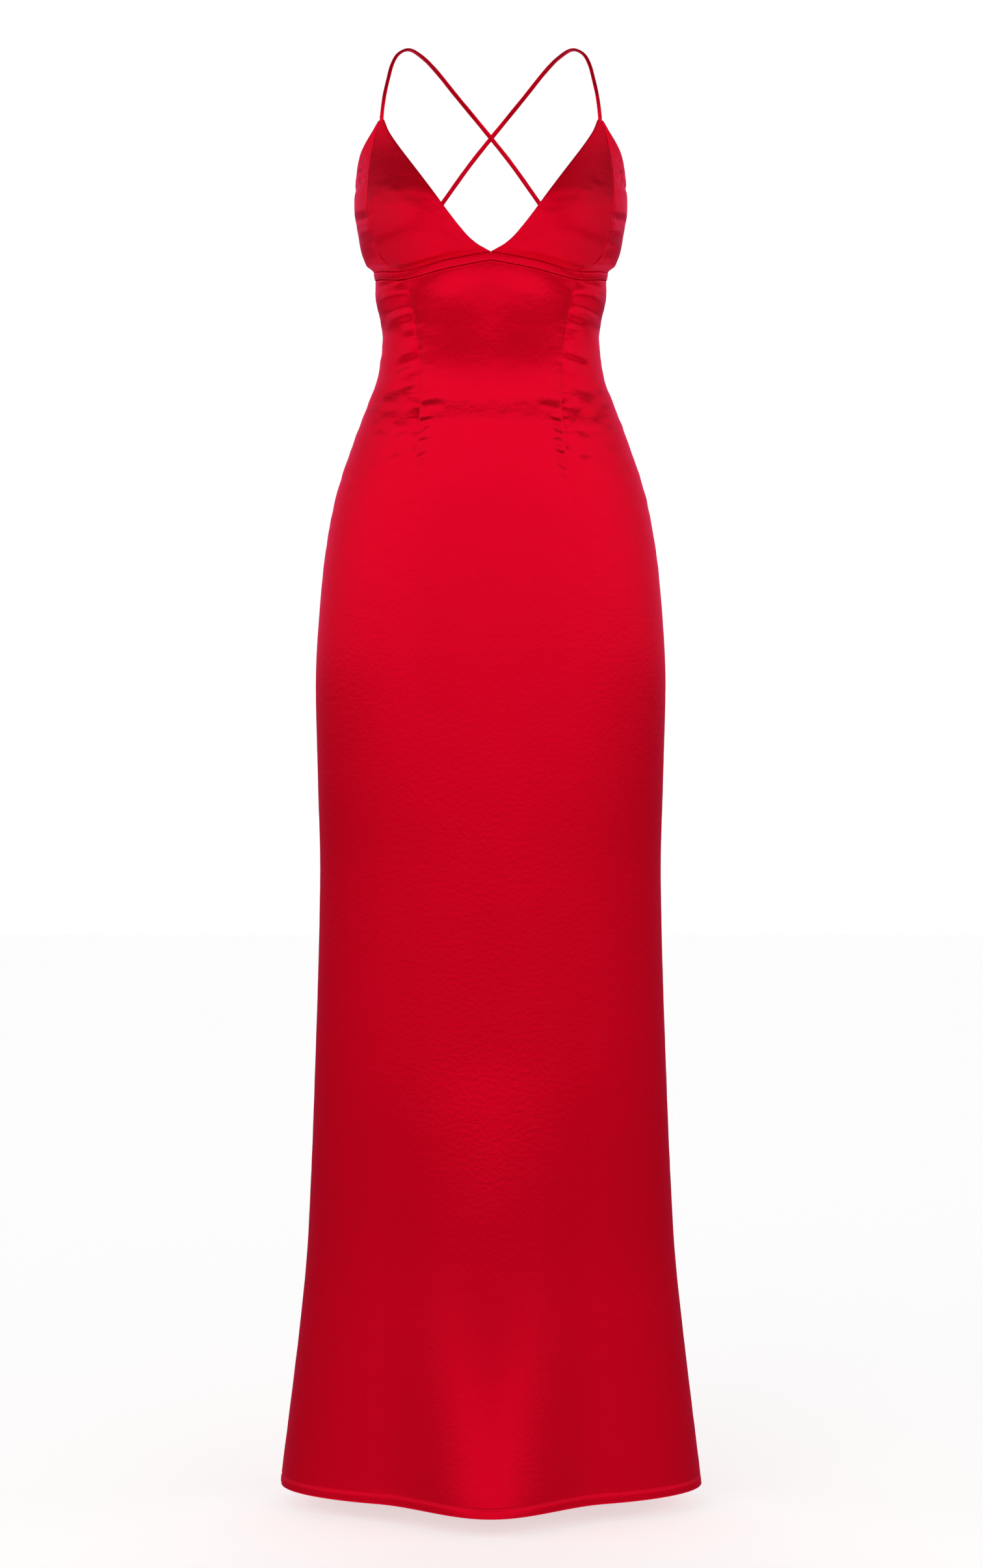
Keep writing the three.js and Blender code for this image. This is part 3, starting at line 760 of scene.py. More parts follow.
frontPanel = {
    "centreColumns": 40,
    "sideColumns": 32,
    "fineTo": 236,  # fine rows down to here below the band, for the creases of waist and belly
    "fineStep": 1.7,
    "coarseRows": 112,
    "hemRows": (11, 9.8, 9.2, 8.6, 8, 6, 3, 1, 0.3),  # above the hem
    "dartDepth": 0.9,
    # lift and reach of the puckers along each seam, and either side of the dart
    "puckers": {"band": (0.1, 4), "side": (0.14, 7), "dartOut": 0.16, "dartIn": 0.07, "dart": 6},
    # most beyond the darts, a share of it between them, and fading out down the skirt
    "rumple": {"lift": 0.17, "between": 0.2, "from": 430, "to": 640, "fade": 0.85},
    # the cloth sinks softly towards each sewn dart, less and less between two depths
    "valley": {"depth": 2.9, "wide": 15, "from": 335, "to": 500},
    # a slack trough above the belly, between the darts, that drops towards them
    "waist": {"z": -352, "half": 24, "depth": 0.7, "drop": 9, "reach": 70},
    "dartTo": (372, 470),  # the sewn dart fades out between these depths
    # the cloth stands out in two soft lobes under the band: x, depth below it, half sizes, lift
    "lobe": {"x": 32, "below": 29, "wide": 24, "above": 16, "under": 42, "lift": 3.0},
    # from the dart to the side: x and z of both ends, half width, lift
    "sideCreases": [
        (113, -254.6, 84, -252.2, 2.2, -1.1),
        (113, -270, 84, -266, 5.5, 1.3),
        (110, -282.5, 86, -278.5, 4.2, -1.2),
        (101, -291, 84, -287.5, 3.4, 0.6),
        (93, -297, 83, -294, 2.8, -0.6),
        (91, -305, 82, -302, 3, 0.35),
        (88, -313, 81, -310, 2.4, -0.4),
        (102, -331, 76, -323.5, 5.2, 0.9),
        (99, -342, 76, -334, 4, -1.0),
        (103, -352, 75.5, -345, 5, 0.8),
        (103, -365, 76, -357, 6, -0.9),
        (104, -380, 77, -372, 7, 0.5),
        (98, -412, 89, -406.5, 2.8, -0.4),
        (97, -424, 85, -404, 6, 0.35),
        (101, -433, 91, -428.5, 2.8, -0.35),
        (104, -422, 103, -448, 4, -0.4),
    ],
    # from the dart to the centre
    "centreCreases": [
        (73.5, -366, 58, -361, 5.5, 0.5),
        (75, -376.5, 54, -373, 5, -0.5),
        (72, -384, 50, -382, 4, 0.45),
        (73, -395, 63, -393.7, 2.1, -0.6),
        (73, -401.5, 62, -398, 2.6, 0.45),
        (76, -409.3, 63, -402, 2.5, -0.7),
        (75, -416.5, 66, -415, 1.7, -0.4),
        (76, -422.5, 63, -419, 3, 0.45),
        (77, -432.5, 65.5, -427.6, 2.3, -0.6),
        (78, -439.5, 66, -434.6, 2.5, 0.4),
        (79, -446.5, 66.5, -439.6, 2.3, -0.6),
        (80, -456, 68, -450, 2.6, 0.35),
        (81, -464.5, 72, -456, 2.1, -0.45),
    ],
    # long soft troughs and folds that hang from darts, belly and hips
    "longFolds": [
        (80, -385, 84, -640, 13, -0.8),
        (0, -470, 2, -900, 34, 0.6),
        (52, -610, 62, -1120, 26, -0.9),
        (108, -640, 116, -1220, 24, 0.9),
        (30, -900, 44, -1400, 22, 0.8),
        (84, -980, 98, -1460, 20, -1.0),
    ],
}


# Distances below the top edge: its rim, fine rows, then rows that grow to the hem, then the
# hem's own.
def panelRows(height, settings):
    fine = np.arange(3, settings["fineTo"], settings["fineStep"])
    hem = height - np.array(settings["hemRows"])
    growth = np.linspace(0, 1, settings["coarseRows"] + 2)[1:-1]
    coarse = mix(fine[-1], hem[0], 0.35 * growth + 0.65 * growth**1.6)
    return np.concatenate([[0, 0.5, 1.1, 2], fine, coarse, hem])


# The band's lower edge is the bust seam, one band height down.
def bandBottomZ(angle):
    return bustSeamZ(np.abs(angle)) - form["bandHeight"]


# The hem is turned up twice and sewn: a shallow groove along its stitches.
def hemGroove(z):
    return -0.35 * ridge(z - form["hem"] - cloth["hemDepth"], 0.9)


# The lift of the front: seam allowance and puckers along the band, the lobes under it, the dart's
# valley and groove with its puckers, the slack at the waist, listed creases and long folds,
# slow drift on the skirt, and rumples.
def frontRelief(x, z, below):
    off = np.abs(x) - frontDartX(z)  # from the dart, positive towards the side
    near, far = frontPanel["dartTo"]
    sewn = 1 - ease(-z, near, far)
    pucker = frontPanel["puckers"]
    lift = tucked(below) + puckers(below, x, *pucker["band"])
    lobe = frontPanel["lobe"]
    up = (lobe["below"] - below) / np.where(below < lobe["below"], lobe["above"], lobe["under"])
    across = (np.abs(x) - lobe["x"]) / lobe["wide"]
    lift += lobe["lift"] * np.exp(-across * across - up * up) * ease(below, 0, 6)
    valley, waist = frontPanel["valley"], frontPanel["waist"]
    sinks = 1 - ease(-z, valley["from"], valley["to"])
    lift -= frontPanel["dartDepth"] * sewn * np.exp(-np.abs(off) / 1.4)
    lift -= valley["depth"] * sinks * np.exp(-np.abs(off) / valley["wide"]) * ease(below, 0, 12)
    slack = z - waist["z"] + waist["drop"] * np.clip(np.abs(x) / waist["reach"], 0, 1) ** 2
    lift -= waist["depth"] * ridge(slack, waist["half"]) * ease(-off, 0, 10)
    beside = np.where(off > 0, pucker["dartOut"], pucker["dartIn"])
    lift += sewn * puckers(off, z, beside, pucker["dart"])
    lift += pairedCreases(x, z, frontPanel["sideCreases"], 11) * ease(off, -1, 3)
    lift += pairedCreases(x, z, frontPanel["centreCreases"], 12) * ease(-off, -1, 3)
    lift += pairedCreases(x, z, frontPanel["longFolds"], 13)
    lift += drift(x, z, 14, 0.8)
    rumples = frontPanel["rumple"]
    calm = 1 - rumples["fade"] * ease(-z, rumples["from"], rumples["to"])
    rumpled = mix(rumples["between"], 1, ease(off, -14, 2)) * calm * ease(below, 0, 10)
    lift += rumple(x, z, 16, rumples["lift"]) * rumpled
    return lift + hemGroove(z)


# The angle at a share of the way across a dart: 0 at the first edge, 1 at the dart, 2 at the last.
def acrossDart(share, first, dart, last):
    return first + np.minimum(share, 1) * (dart - first) + np.maximum(share - 1, 0) * (last - dart)


# The front runs from under the band to the hem, and from side seam to side seam across both darts.
def makeFrontPanel():
    topHeight = -250  # about where its top edge lies, to share out the rows
    reach = topHeight - form["hem"]
    down = np.concatenate([-np.array(cloth["allowance"]), panelRows(reach, frontPanel)]) / reach
    centre, outer = spaced(frontPanel["centreColumns"]), spaced(frontPanel["sideColumns"])
    half = np.concatenate([centre[centre > 0], 1 + outer[1:]])
    share = np.concatenate([-half[::-1], [0], half])[None, :]
    heights = np.linspace(-1510, -225, 1286)
    dartAngles = angleAt(frontDartX(heights), heights)
    inset = cloth["edge"] / perDegree(form["sideAngle"], heights)

    # the angles of a grid of heights, each column at its share across
    def angleOf(z):
        dart = np.interp(z, heights, dartAngles)
        edge = form["sideAngle"] - np.interp(z, heights, inset)
        return np.sign(share) * acrossDart(np.abs(share), 0, dart, edge)

    z = mix(topHeight, form["hem"], down[:, None]) + 0 * share
    for _ in range(4):
        top = bandBottomZ(angleOf(z)) - cloth["edge"] - 0.1
        z = mix(top, form["hem"] + 0.3, down[:, None])
    angle = angleOf(z)
    x = formPoint(angle, z)[..., 0]
    toSide = (form["sideAngle"] - np.abs(angle)) * perDegree(form["sideAngle"], -400.0)
    lift = frontRelief(x, z, top - z) + rolled(toSide)
    lift += puckers(toSide, z, *frontPanel["puckers"]["side"])
    middle = share.size // 2
    return sewPiece("front_panel", angle, z, lift, clothWall(z), origin=middle)


frontGrid = makeFrontPanel()


band = {
    "joinZ": -245.0,
    "rows": 15,
    "centreColumns": 210,
    "sideColumns": 76,
    "proud": 0.25,
    "crown": 0.45,
    "stitchRow": 12,
    "puckers": {"top": (0.09, 2), "bottom": (0.07, 2)},  # lift and reach
}


# A cup ends just above the bust seam.
def cupFoot(angle):
    return bustSeamZ(np.abs(angle)) + 0.15


bandJoin = float(angleAt(cupSeamX(band["joinZ"]), band["joinZ"]))


# A strip between the bust seam and the front's top edge: crowned across, puckered along both
# seams and rolled down at its ends.
def makeBand(name, start, end, columns):
    inset = cloth["edge"] / float(perDegree(bandJoin, band["joinZ"]))
    share = np.linspace(0, 1, columns)[None, :]
    angle = mix(start + inset, end - inset, share)
    down = (0.5 - 0.5 * np.cos(np.linspace(0, math.pi, band["rows"])))[:, None]
    top = bustSeamZ(np.abs(angle)) - cloth["edge"]
    bottom = bandBottomZ(angle) + cloth["edge"]
    z = mix(top, bottom, down)
    angle = np.broadcast_to(angle, z.shape)
    along = gridLength(formPoint(angle, z), 1)
    lift = band["proud"] + band["crown"] * np.sin(np.pi * down) ** 0.6
    lift = lift + puckers(top - z, along, *band["puckers"]["top"])
    lift += puckers(z - bottom, along + 2.3, *band["puckers"]["bottom"])
    lift += rolled(along) + rolled(along[:, [-1]] - along)
    middle = columns // 2
    return sewPiece(name, angle, z, lift, clothWall(z), origin=middle)


bandGrids = [
    makeBand("band_centre", -bandJoin, bandJoin, band["centreColumns"]),
    makeBand("band_side_left", bandJoin, form["sideAngle"], band["sideColumns"]),
    makeBand("band_side_right", -form["sideAngle"], -bandJoin, band["sideColumns"]),
]
print("band ready")

cup = {
    "innerRows": 112,
    "innerColumns": 72,
    "outerRows": (56, 52),  # beside the side seam and beside the armhole
    "outerColumns": 46,
    "armholeFrom": 5 / 12,  # the share of an outer panel's height where the side seam ends
    "neckTurn": 0.5,  # the faced neckline rolls over its edge
    "grain": 30,  # the inner panels are cut along the neckline, which keeps it from stretching
    # the cup seam stands out as a soft edge that grows from one height to the next, is lower
    # between the last two, and dies away to both panels' edges
    "seamEdge": {"lift": 5.0, "from": -92, "full": -170, "fade": -188, "to": -228},
    # the cloth fills out over the bust seam, from nothing at one height, and turns in at the foot
    "fullness": {"lift": 4.8, "from": -184, "full": -225, "turn": 10},
    "rumple": 0.15,
    # lift and reach along the inner panels' seams and foot, and the outer panels' seam, foot and side
    "innerPuckers": {"seam": (0.06, 4), "foot": (0.09, 3.5)},
    "outerPuckers": {"seam": (0.12, 5), "foot": (0.1, 3.5), "side": (0.1, 4)},
    "innerCreases": [
        (72, -211.5, 50, -210.8, 1.8, 0.7),
        (56, -204, 28, -214, 1.8, 0.8),
        (50, -209, 24, -221, 1.8, -0.6),
        (41, -226, 14, -228.3, 1.8, 0.7),
        (64, -195, 42, -202, 2.4, 0.6),
        (90, -237, 42, -227.5, 2.2, 0.9),
        (100, -222, 62, -220, 5, -0.7),
        (96, -120, 84, -132, 4, 0.35),
        (106, -160, 90, -173, 6, 0.6),
        (88, -174, 62, -180, 5, -0.5),
        (80, -190, 48, -193, 4, 0.45),
    ],
    "outerCreases": [
        (135, -122.5, 130, -126, 1.7, -0.9),
        (138, -130, 130, -132.5, 2.2, 0.7),
        (137.5, -136, 131, -139, 1.7, -1.1),
        (133, -138, 134, -146.5, 1.6, -1.0),
        (135.5, -145, 129, -150, 1.7, -1.1),
        (132, -141, 127, -145, 1.8, 0.6),
        (141.5, -150, 136, -154.5, 2.4, -1.3),
        (140, -159, 128, -163, 3.2, 0.7),
        (139, -176, 125, -181, 3.4, 0.7),
        (138, -185, 123, -190, 2.8, -0.6),
        (132, -198, 119, -203, 3.2, 0.6),
        (126, -214, 111, -218, 2.8, -0.6),
        (121, -224, 107, -228, 2.6, 0.6),
    ],
}


# The lift of a cup's lower fullness at a height and at a distance above its foot.
def lowerFullness(z, toFoot):
    full = cup["fullness"]
    return full["lift"] * ease(-z, -full["from"], -full["full"]) * ease(toFoot, 0, full["turn"])


# The lift of the seam's soft edge at a height: full in the upper cup, less towards the band.
def seamEdge(z):
    edge = cup["seamEdge"]
    fade = 1 - 0.75 * ease(-z, -edge["fade"], -edge["to"])
    return edge["lift"] * ease(-z, -edge["from"], -edge["full"]) * fade


# Extra columns of seam allowance past the last column: each lies further round the ring by its
# allowance, times a share that narrows it.
def withAllowance(angle, z, direction, narrow):
    off = np.array(cloth["allowance"][::-1])
    edge, height = angle[:, [-1]], z[:, [-1]]
    more = edge + direction * off * narrow / perDegree(edge, height)
    return np.concatenate([angle, more], 1), np.concatenate([z, height + 0 * more], 1)


# The rows of a cup: shares of the way from the foot (0) to the tip (1), running down and on below
# the foot by the seam allowance.
def cupRows(shares, height):
    under = -np.array(cloth["allowance"][::-1]) / height
    return np.concatenate([mix(0.001, 0.997, shares), under])[:, None]


# An inner panel runs from the neckline to the cup seam, and on under the outer panel. A point's
# height is mixed between the two edges, and drops towards the foot to follow the band.
def makeInnerCup(side, name):
    shares = 1 - spaced(cup["innerRows"])
    across = spaced(cup["innerColumns"])[None, :]
    foot, join = float(cupFoot(0)), float(cupFoot(bandJoin))
    up = cupRows(shares, form["apex"] - join)
    neckZ, seamZ = mix(foot, form["apex"], up), mix(join, form["apex"], up)
    neckAngle = angleAt(necklineX(neckZ) + cloth["edge"], neckZ)
    seamAngle = angleAt(cupSeamX(seamZ) - cloth["edge"], seamZ)
    angle = mix(neckAngle, seamAngle, across)
    dip = cupFoot(angle) - mix(foot, join, across)
    z = mix(neckZ, seamZ, across) + dip * (1 - np.clip(up, 0, 1)) ** 3
    narrow = ease(1 - up, 0.02, 0.12)
    angle, z = withAllowance(angle, z, 1, narrow)
    lengths = gridLength(formPoint(angle, z), 1)
    seam = lengths[:, [lastOf(cup["innerColumns"])]]
    toSeam, toFoot = seam - lengths, z - cupFoot(angle)
    x = formPoint(angle, z)[..., 0]
    lift = tucked(toFoot) + tucked(toSeam) * narrow
    lift = np.maximum(lift, -cloth["tuck"]) - cup["neckTurn"] * np.exp(-lengths / 1.1)
    pucker = cup["innerPuckers"]
    lift += puckers(toSeam, z, *pucker["seam"]) * narrow + puckers(toFoot, x, *pucker["foot"])
    lift += seamEdge(z) * np.clip(lengths / np.maximum(seam, 1), 0, 1) ** 1.6 * ease(toFoot, 0, 14)
    lift += lowerFullness(z, toFoot)
    lift += rumple(x, z, 23, cup["rumple"]) * ease(-z, 120, 190) * ease(toFoot, 0, 8) * ease(lengths, 0, 8)
    lift += pairedCreases(side * x, z, cup["innerCreases"], 21)
    held, grain = "stretched", cup["grain"]
    return sewPiece(name, angle, z, lift, clothWall(z), side, grain=grain)


# An outer panel runs from the cup seam to the side seam low down, and to the armhole above it.
def makeOuterCup(side, name):
    corner = cup["armholeFrom"]
    sideEdge = form["sideAngle"] - cloth["edge"] / float(perDegree(form["sideAngle"], -200.0))
    tip = form["openEdge"][0][0]
    low, high = cup["outerRows"]
    shares = 1 - np.concatenate([spaced(high) * (1 - corner), 1 - corner + corner * spaced(low)[1:]])
    across = spaced(cup["outerColumns"])[None, :]
    join = float(cupFoot(bandJoin))
    up = cupRows(shares, form["apex"] - join)
    seamZ = mix(join, form["apex"], up)
    seamAngle = angleAt(cupSeamX(seamZ) + cloth["edge"], seamZ)
    alongArmhole = (up - corner) / (1 - corner)
    edgeAngle = mix(sideEdge, tip, np.clip(alongArmhole, 0, 1))
    sideZ = mix(cupFoot(form["sideAngle"]), openEdgeZ(sideEdge), up / corner)
    edgeZ = np.where(alongArmhole > 0, openEdgeZ(edgeAngle), sideZ)
    angle = mix(seamAngle, edgeAngle, across)
    dip = cupFoot(angle) - mix(join, cupFoot(form["sideAngle"]), across)
    z = mix(seamZ, edgeZ, across) + dip * (1 - np.clip(up, 0, 1)) ** 3
    lengths = gridLength(formPoint(angle, z), 1)
    toSide, toFoot = lengths[:, [-1]] - lengths, z - cupFoot(angle)
    x = formPoint(angle, z)[..., 0]
    turn = np.where(alongArmhole > 0, cup["neckTurn"], 0.4)
    lift = tucked(toFoot) + rolled(lengths) - turn * np.exp(-toSide / 1.1)
    pucker = cup["outerPuckers"]
    lift += puckers(lengths, z, *pucker["seam"]) + puckers(toFoot, x, *pucker["foot"])
    lift += puckers(toSide, z, *pucker["side"])
    lift += seamEdge(z) * np.clip(toSide / (toSide + lengths + 1), 0, 1) ** 1.3 * ease(toFoot, 0, 14)
    lift += lowerFullness(z, toFoot) * ease(toSide, 0, 12)
    lift += rumple(x, z, 24, cup["rumple"]) * ease(toFoot, 0, 8) * ease(lengths, 0, 4) * ease(toSide, 0, 6)
    lift += pairedCreases(side * x, z, cup["outerCreases"], 22)
    return sewPiece(name, angle, z, lift, clothWall(z), side)


outerCupGrids = []
for side, word in ((1, "left"), (-1, "right")):
    makeInnerCup(side, f"cup_inner_{word}")
    outerCupGrids.append((side, makeOuterCup(side, f"cup_outer_{word}")))
print("cups ready")

backPanel = {
    "outerColumns": 42,
    "innerColumns": 30,
    "fineTo": 300,
    "fineStep": 2.1,
    "coarseRows": 104,
    "hemRows": (11, 9.8, 9.2, 8.6, 8, 6, 3, 1, 0.3),
    "puckers": {"dart": (0.14, 6), "centre": (0.13, 6), "side": (0.13, 7)},  # lift and reach
    "dartDepth": 0.9,
    "dartFrom": 262,
    "dartTo": (400, 470),
    "edge": 0.35,  # below the form's open edge
    "centreGap": {"zip": 0.9, "seam": 0.3, "from": 270, "to": 300},
    "zipEnd": -534,
    "underShares": (0.35, 0.85, 1, 1),  # of the tuck, at each column of the centre allowance
    # small of the back and seat: x and z of both ends, half width, lift
    "creases": [
        (96, -262, 62, -266, 4.5, 0.6),
        (92, -284, 56, -279, 3.4, -0.7),
        (88, -301, 54, -296, 3.2, 0.5),
        (84, -317, 30, -311, 4.5, -0.8),
        (78, -331, 22, -329, 4.5, 0.7),
        (86, -346, 34, -349, 4.2, -0.7),
        (94, -361, 50, -368, 4.5, 0.5),
        (62, -392, 52, -386, 2.5, -0.55),
        (64, -411, 54, -404, 2.6, -0.5),
        (66, -430, 56, -424, 2.4, -0.5),
        (22, -262, 4, -257, 3, -0.5),
        (24, -281, 4, -277, 3, -0.45),
        (21, -300, 4, -296, 2.6, 0.4),
    ],
    "longFolds": [
        (62, -440, 70, -700, 14, -0.8),
        (44, -560, 58, -1050, 24, 1.1),
        (96, -620, 118, -1150, 24, -1.1),
        (24, -800, 40, -1380, 20, -1.0),
        (78, -960, 96, -1470, 20, 1.2),
        (132, -1000, 158, -1470, 18, -1.0),
    ],
}


# The lift of a back panel: its top edge, dart, creases, long folds and puckers along its seams.
def backRelief(x, z, below, toSide, toCentre):
    off = np.abs(x) - backDartX(z)
    near, far = backPanel["dartTo"]
    sewn = (1 - ease(-z, near, far)) * ease(-z, backPanel["dartFrom"], backPanel["dartFrom"] + 8)
    lift = -0.5 * np.exp(-below / 1.1) - backPanel["dartDepth"] * sewn * np.exp(-np.abs(off) / 1.4)
    pucker = backPanel["puckers"]
    lift = lift + sewn * puckers(off, z, *pucker["dart"]) + puckers(toCentre, z, *pucker["centre"])
    lift += puckers(toSide, z + 3, *pucker["side"]) + rolled(toCentre, 0.7)
    lift += pairedCreases(x, z, backPanel["creases"], 31)
    lift += pairedCreases(x, z, backPanel["longFolds"], 32) + drift(x, z, 33, 0.9)
    return lift + hemGroove(z)


# A back panel runs from under the front at the side seam, past its dart, to the centre seam.
# From the zip's end down the left one runs on under the right one.
def makeBackPanel(side, name):
    topHeight = -200  # about where its top edge lies, to share out the rows
    reach = topHeight - form["hem"]
    down = panelRows(reach, backPanel) / reach
    outer, inner = spaced(backPanel["outerColumns"]), spaced(backPanel["innerColumns"])
    share = np.concatenate([outer, 1 + inner[1:]])[None, :]
    heights = np.linspace(-1510, -160, 1351)
    dartAngles = angleAt(backDartX(heights), heights, True)
    seams = form["sideAngle"] + cloth["edge"] / perDegree(form["sideAngle"], heights)
    gap = backPanel["centreGap"]
    sewn = np.clip((-gap["from"] - heights) / (gap["to"] - gap["from"]), 0, 1)
    centres = 180 - mix(gap["zip"], gap["seam"], sewn) / perDegree(180.0, heights)

    # the angles of a grid of heights, each column at its share across
    def angleOf(z):
        dart = np.interp(z, heights, dartAngles)
        first, last = np.interp(z, heights, seams), np.interp(z, heights, centres)
        return acrossDart(share, first, dart, last)

    z = mix(-230.0, form["hem"], down[:, None]) + 0 * share
    for _ in range(6):
        top = openEdgeZ(angleOf(z)[:1]) - backPanel["edge"]
        z = mix(top, form["hem"] + 0.3, down[:, None])
    angle = angleOf(z)
    angle, z = withAllowance(angle[:, ::-1], z[:, ::-1], -1, 1)
    angle, z = angle[:, ::-1], z[:, ::-1]
    lengths = gridLength(formPoint(angle, z), 1)
    toSide = lengths - lengths[:, [len(cloth["allowance"])]]
    toCentre = lengths[:, [-1]] - lengths
    below = openEdgeZ(np.maximum(angle, form["sideAngle"])) - backPanel["edge"] - z
    x = formPoint(angle, z)[..., 0]
    layers = np.where(z < form["hem"] + cloth["hemDepth"], 2, 1)
    lift = backRelief(side * x, z, below, toSide, toCentre)
    lift += layers * tucked(toSide)
    if side > 0:
        belowZip = backPanel["zipEnd"] - z[:, [-1]]
        angle, z = withAllowance(angle, z, 1, ease(belowZip, -12, -6))
        depth = layers[:, [-1]] * cloth["tuck"] * ease(belowZip, -14, -8)
        under = lift[:, [-1]] - depth * np.array(backPanel["underShares"])
        lift = np.concatenate([lift, under], 1)
    origin = lift.shape[1] - 1 if side > 0 else 0
    return sewPiece(name, angle, z, lift, clothWall(z), side, origin)


backGrids = [makeBackPanel(1, "back_panel_left"), makeBackPanel(-1, "back_panel_right")]
print("back ready")


strap = {
    "width": 4.6,
    "thick": 3.2,
    "wall": 0.5,
    "sides": 18,
    "steps": 280,
    "route": [
        (110, -48, -62), (106, -38.5, -40), (102, -29, -22.5), (96.2, -18, -9.8), (85.4, -1, -1.3),
        (71.6, 22, -4.2), (58, 45, -13), (36, 71.5, -34.6), (12.6, 90, -59), (-20.2, 96.5, -98.4),
        (-50, 95.5, -140.4), (-77, 86.5, -181), (-95, 72, -205),
    ],
    "startX": 113,
    "above": 0.9,
    "backAngle": 125.5,
    "backAbove": 1.9,
    "sewnIn": 5,  # length hidden inside the cup's tip and inside the back
    "behind": 1.9,  # how far behind the cloth's face it lies there
    "edgeBehind": 1.25,  # and how far at the cloth's edge
    # the left strap passes outside the right one where they cross, near x = 0
    "crossing": {"out": 3.6, "half": 34, "yFrom": 60},
    # the shoulders that its flat side turns to: half width, half depth, where their tops begin
    "shoulders": {"wide": 143, "deep": 96, "z": -150, "turn": 60},
    "seam": {"at": 4.71, "wide": 0.25, "depth": 0.08},  # its seam, round the tube in radians
    "rimIn": 0.25,
}


# A smooth cord through points: a cubic between each two, with slopes from the square roots of the
# distances to the neighbours, then evened out to equal steps of length.
def cordLine(points, steps):
    points = np.asarray(points, float)
    ends = np.concatenate([[2 * points[0] - points[1]], points, [2 * points[-1] - points[-2]]])
    gaps = np.sqrt(np.linalg.norm(np.diff(ends, axis=0), axis=1))[:, None]
    before, here, after = gaps[:-2], gaps[1:-1], gaps[2:]
    slope = np.diff(ends, axis=0) / gaps
    leave = slope[:-2] - (ends[2:-1] - ends[:-3]) / (before + here) + slope[1:-1]
    arrive = slope[1:-1] - (ends[3:] - ends[1:-2]) / (here + after) + slope[2:]
    s = np.linspace(0, 1, 24, endpoint=False)[None, :, None]
    leave, arrive = (leave * here)[:, None], (arrive * here)[:, None]
    line = cubic(s, points[:-1, None], points[1:, None], leave, arrive)
    line = np.concatenate([line.reshape(-1, 3), points[-1:]])
    length = gridLength(line[:, None], 0)[:, 0]
    even = np.linspace(0, length[-1], steps)
    return np.stack([np.interp(even, length, line[:, i]) for i in range(3)], 1), length[-1]


# A flattened tube of cloth along the cord: an ellipse across, a little uneven, with a groove at
# its seam, an inner skin one wall in, and rims that draw in and close at both ends.
def makeStrap(side, name):
    route = [np.array([side * x, y, z]) for x, y, z in strap["route"]]
    tip = side * float(angleAt(strap["startX"], form["apex"]))
    back = -side * strap["backAngle"]
    backZ = float(openEdgeZ(strap["backAngle"]))

    # a point of the form, moved in by a depth
    def inCloth(angle, z, depth):
        return formPoint(np.array(angle), z) - formNormal(np.array(angle), z) * depth

    route.insert(0, inCloth(tip, form["apex"], strap["edgeBehind"]) + [0, 0, strap["above"]])
    route.insert(0, inCloth(tip, form["apex"] - strap["sewnIn"], strap["behind"]))
    route.append(inCloth(back, backZ, strap["edgeBehind"]) + [0, 0, strap["backAbove"]])
    route.append(inCloth(back, backZ - strap["sewnIn"], strap["behind"]))
    route = np.array(route)
    if side > 0:
        crossing = strap["crossing"]
        near = ridge(route[:, 0], crossing["half"]) * (route[:, 1] > crossing["yFrom"])
        route[:, 1] += crossing["out"] * near
    line, length = cordLine(route, strap["steps"])
    along = unit(np.gradient(line, axis=0))
    x, y, z = line.T
    body = strap["shoulders"]
    rise = (np.maximum(0, z - body["z"]) / -body["z"]) ** 3 / body["turn"]
    outwards = unit(np.stack([x / body["wide"] ** 2, y / body["deep"] ** 2, rise], 1))
    acrossWay = unit(np.cross(outwards, along))
    out = np.cross(along, acrossWay)
    turn = np.linspace(0, 2 * math.pi, strap["sides"] + 1)[None, :-1]
    at = np.linspace(0, length, strap["steps"])[:, None]
    seam = strap["seam"]
    uneven = 1 + 0.02 * np.sin(at / 5.1 + 2 * turn) + 0.008 * np.sin(at / 2.3 - turn)
    uneven = uneven - seam["depth"] * ridge(turn - seam["at"], seam["wide"])
    rims = 1 - strap["rimIn"] * (ridge(at, 1) + ridge(length - at, 1))

    # rings of an ellipse round the line: across by the cosine, out by the sine, less the inset
    def skin(inset):
        wide = (strap["width"] / 2 - inset) * uneven * rims
        deep = (strap["thick"] / 2 - inset) * uneven * rims
        rings = acrossWay[:, None] * (np.cos(turn) * wide)[..., None]
        return line[:, None] + rings + out[:, None] * (np.sin(turn) * deep)[..., None]

    outer, inner = skin(0), skin(strap["wall"])
    rows, columns = outer.shape[:2]
    grid = np.arange(rows * columns).reshape(rows, columns)
    a, b = grid[:-1], np.roll(grid[:-1], -1, 1)
    c, d = np.roll(grid[1:], -1, 1), grid[1:]
    skinQuads = np.stack([a, b, c, d], -1).reshape(-1, 4)
    count = rows * columns
    first, last = grid[0], grid[-1]
    startRim = np.stack([np.roll(first, -1), first, first + count, np.roll(first, -1) + count], 1)
    endRim = np.stack([last, np.roll(last, -1), np.roll(last, -1) + count, last + count], 1)
    quads = np.concatenate([skinQuads, skinQuads[:, ::-1] + count, startRim, endRim])
    points = np.concatenate([outer.reshape(-1, 3), inner.reshape(-1, 3)])
    roundWay = np.minimum(turn, 2 * math.pi - turn) * strap["width"] / 2
    flat = np.stack(np.broadcast_arrays(roundWay, at), -1).reshape(-1, 2)
    piece = makeObject(name + "_cloth", points, quads, np.concatenate([flat, flat]), satinCloth)
    a, b = strap["width"] / 2, strap["thick"] / 2
    finishCloth(piece, name)
    return line, out


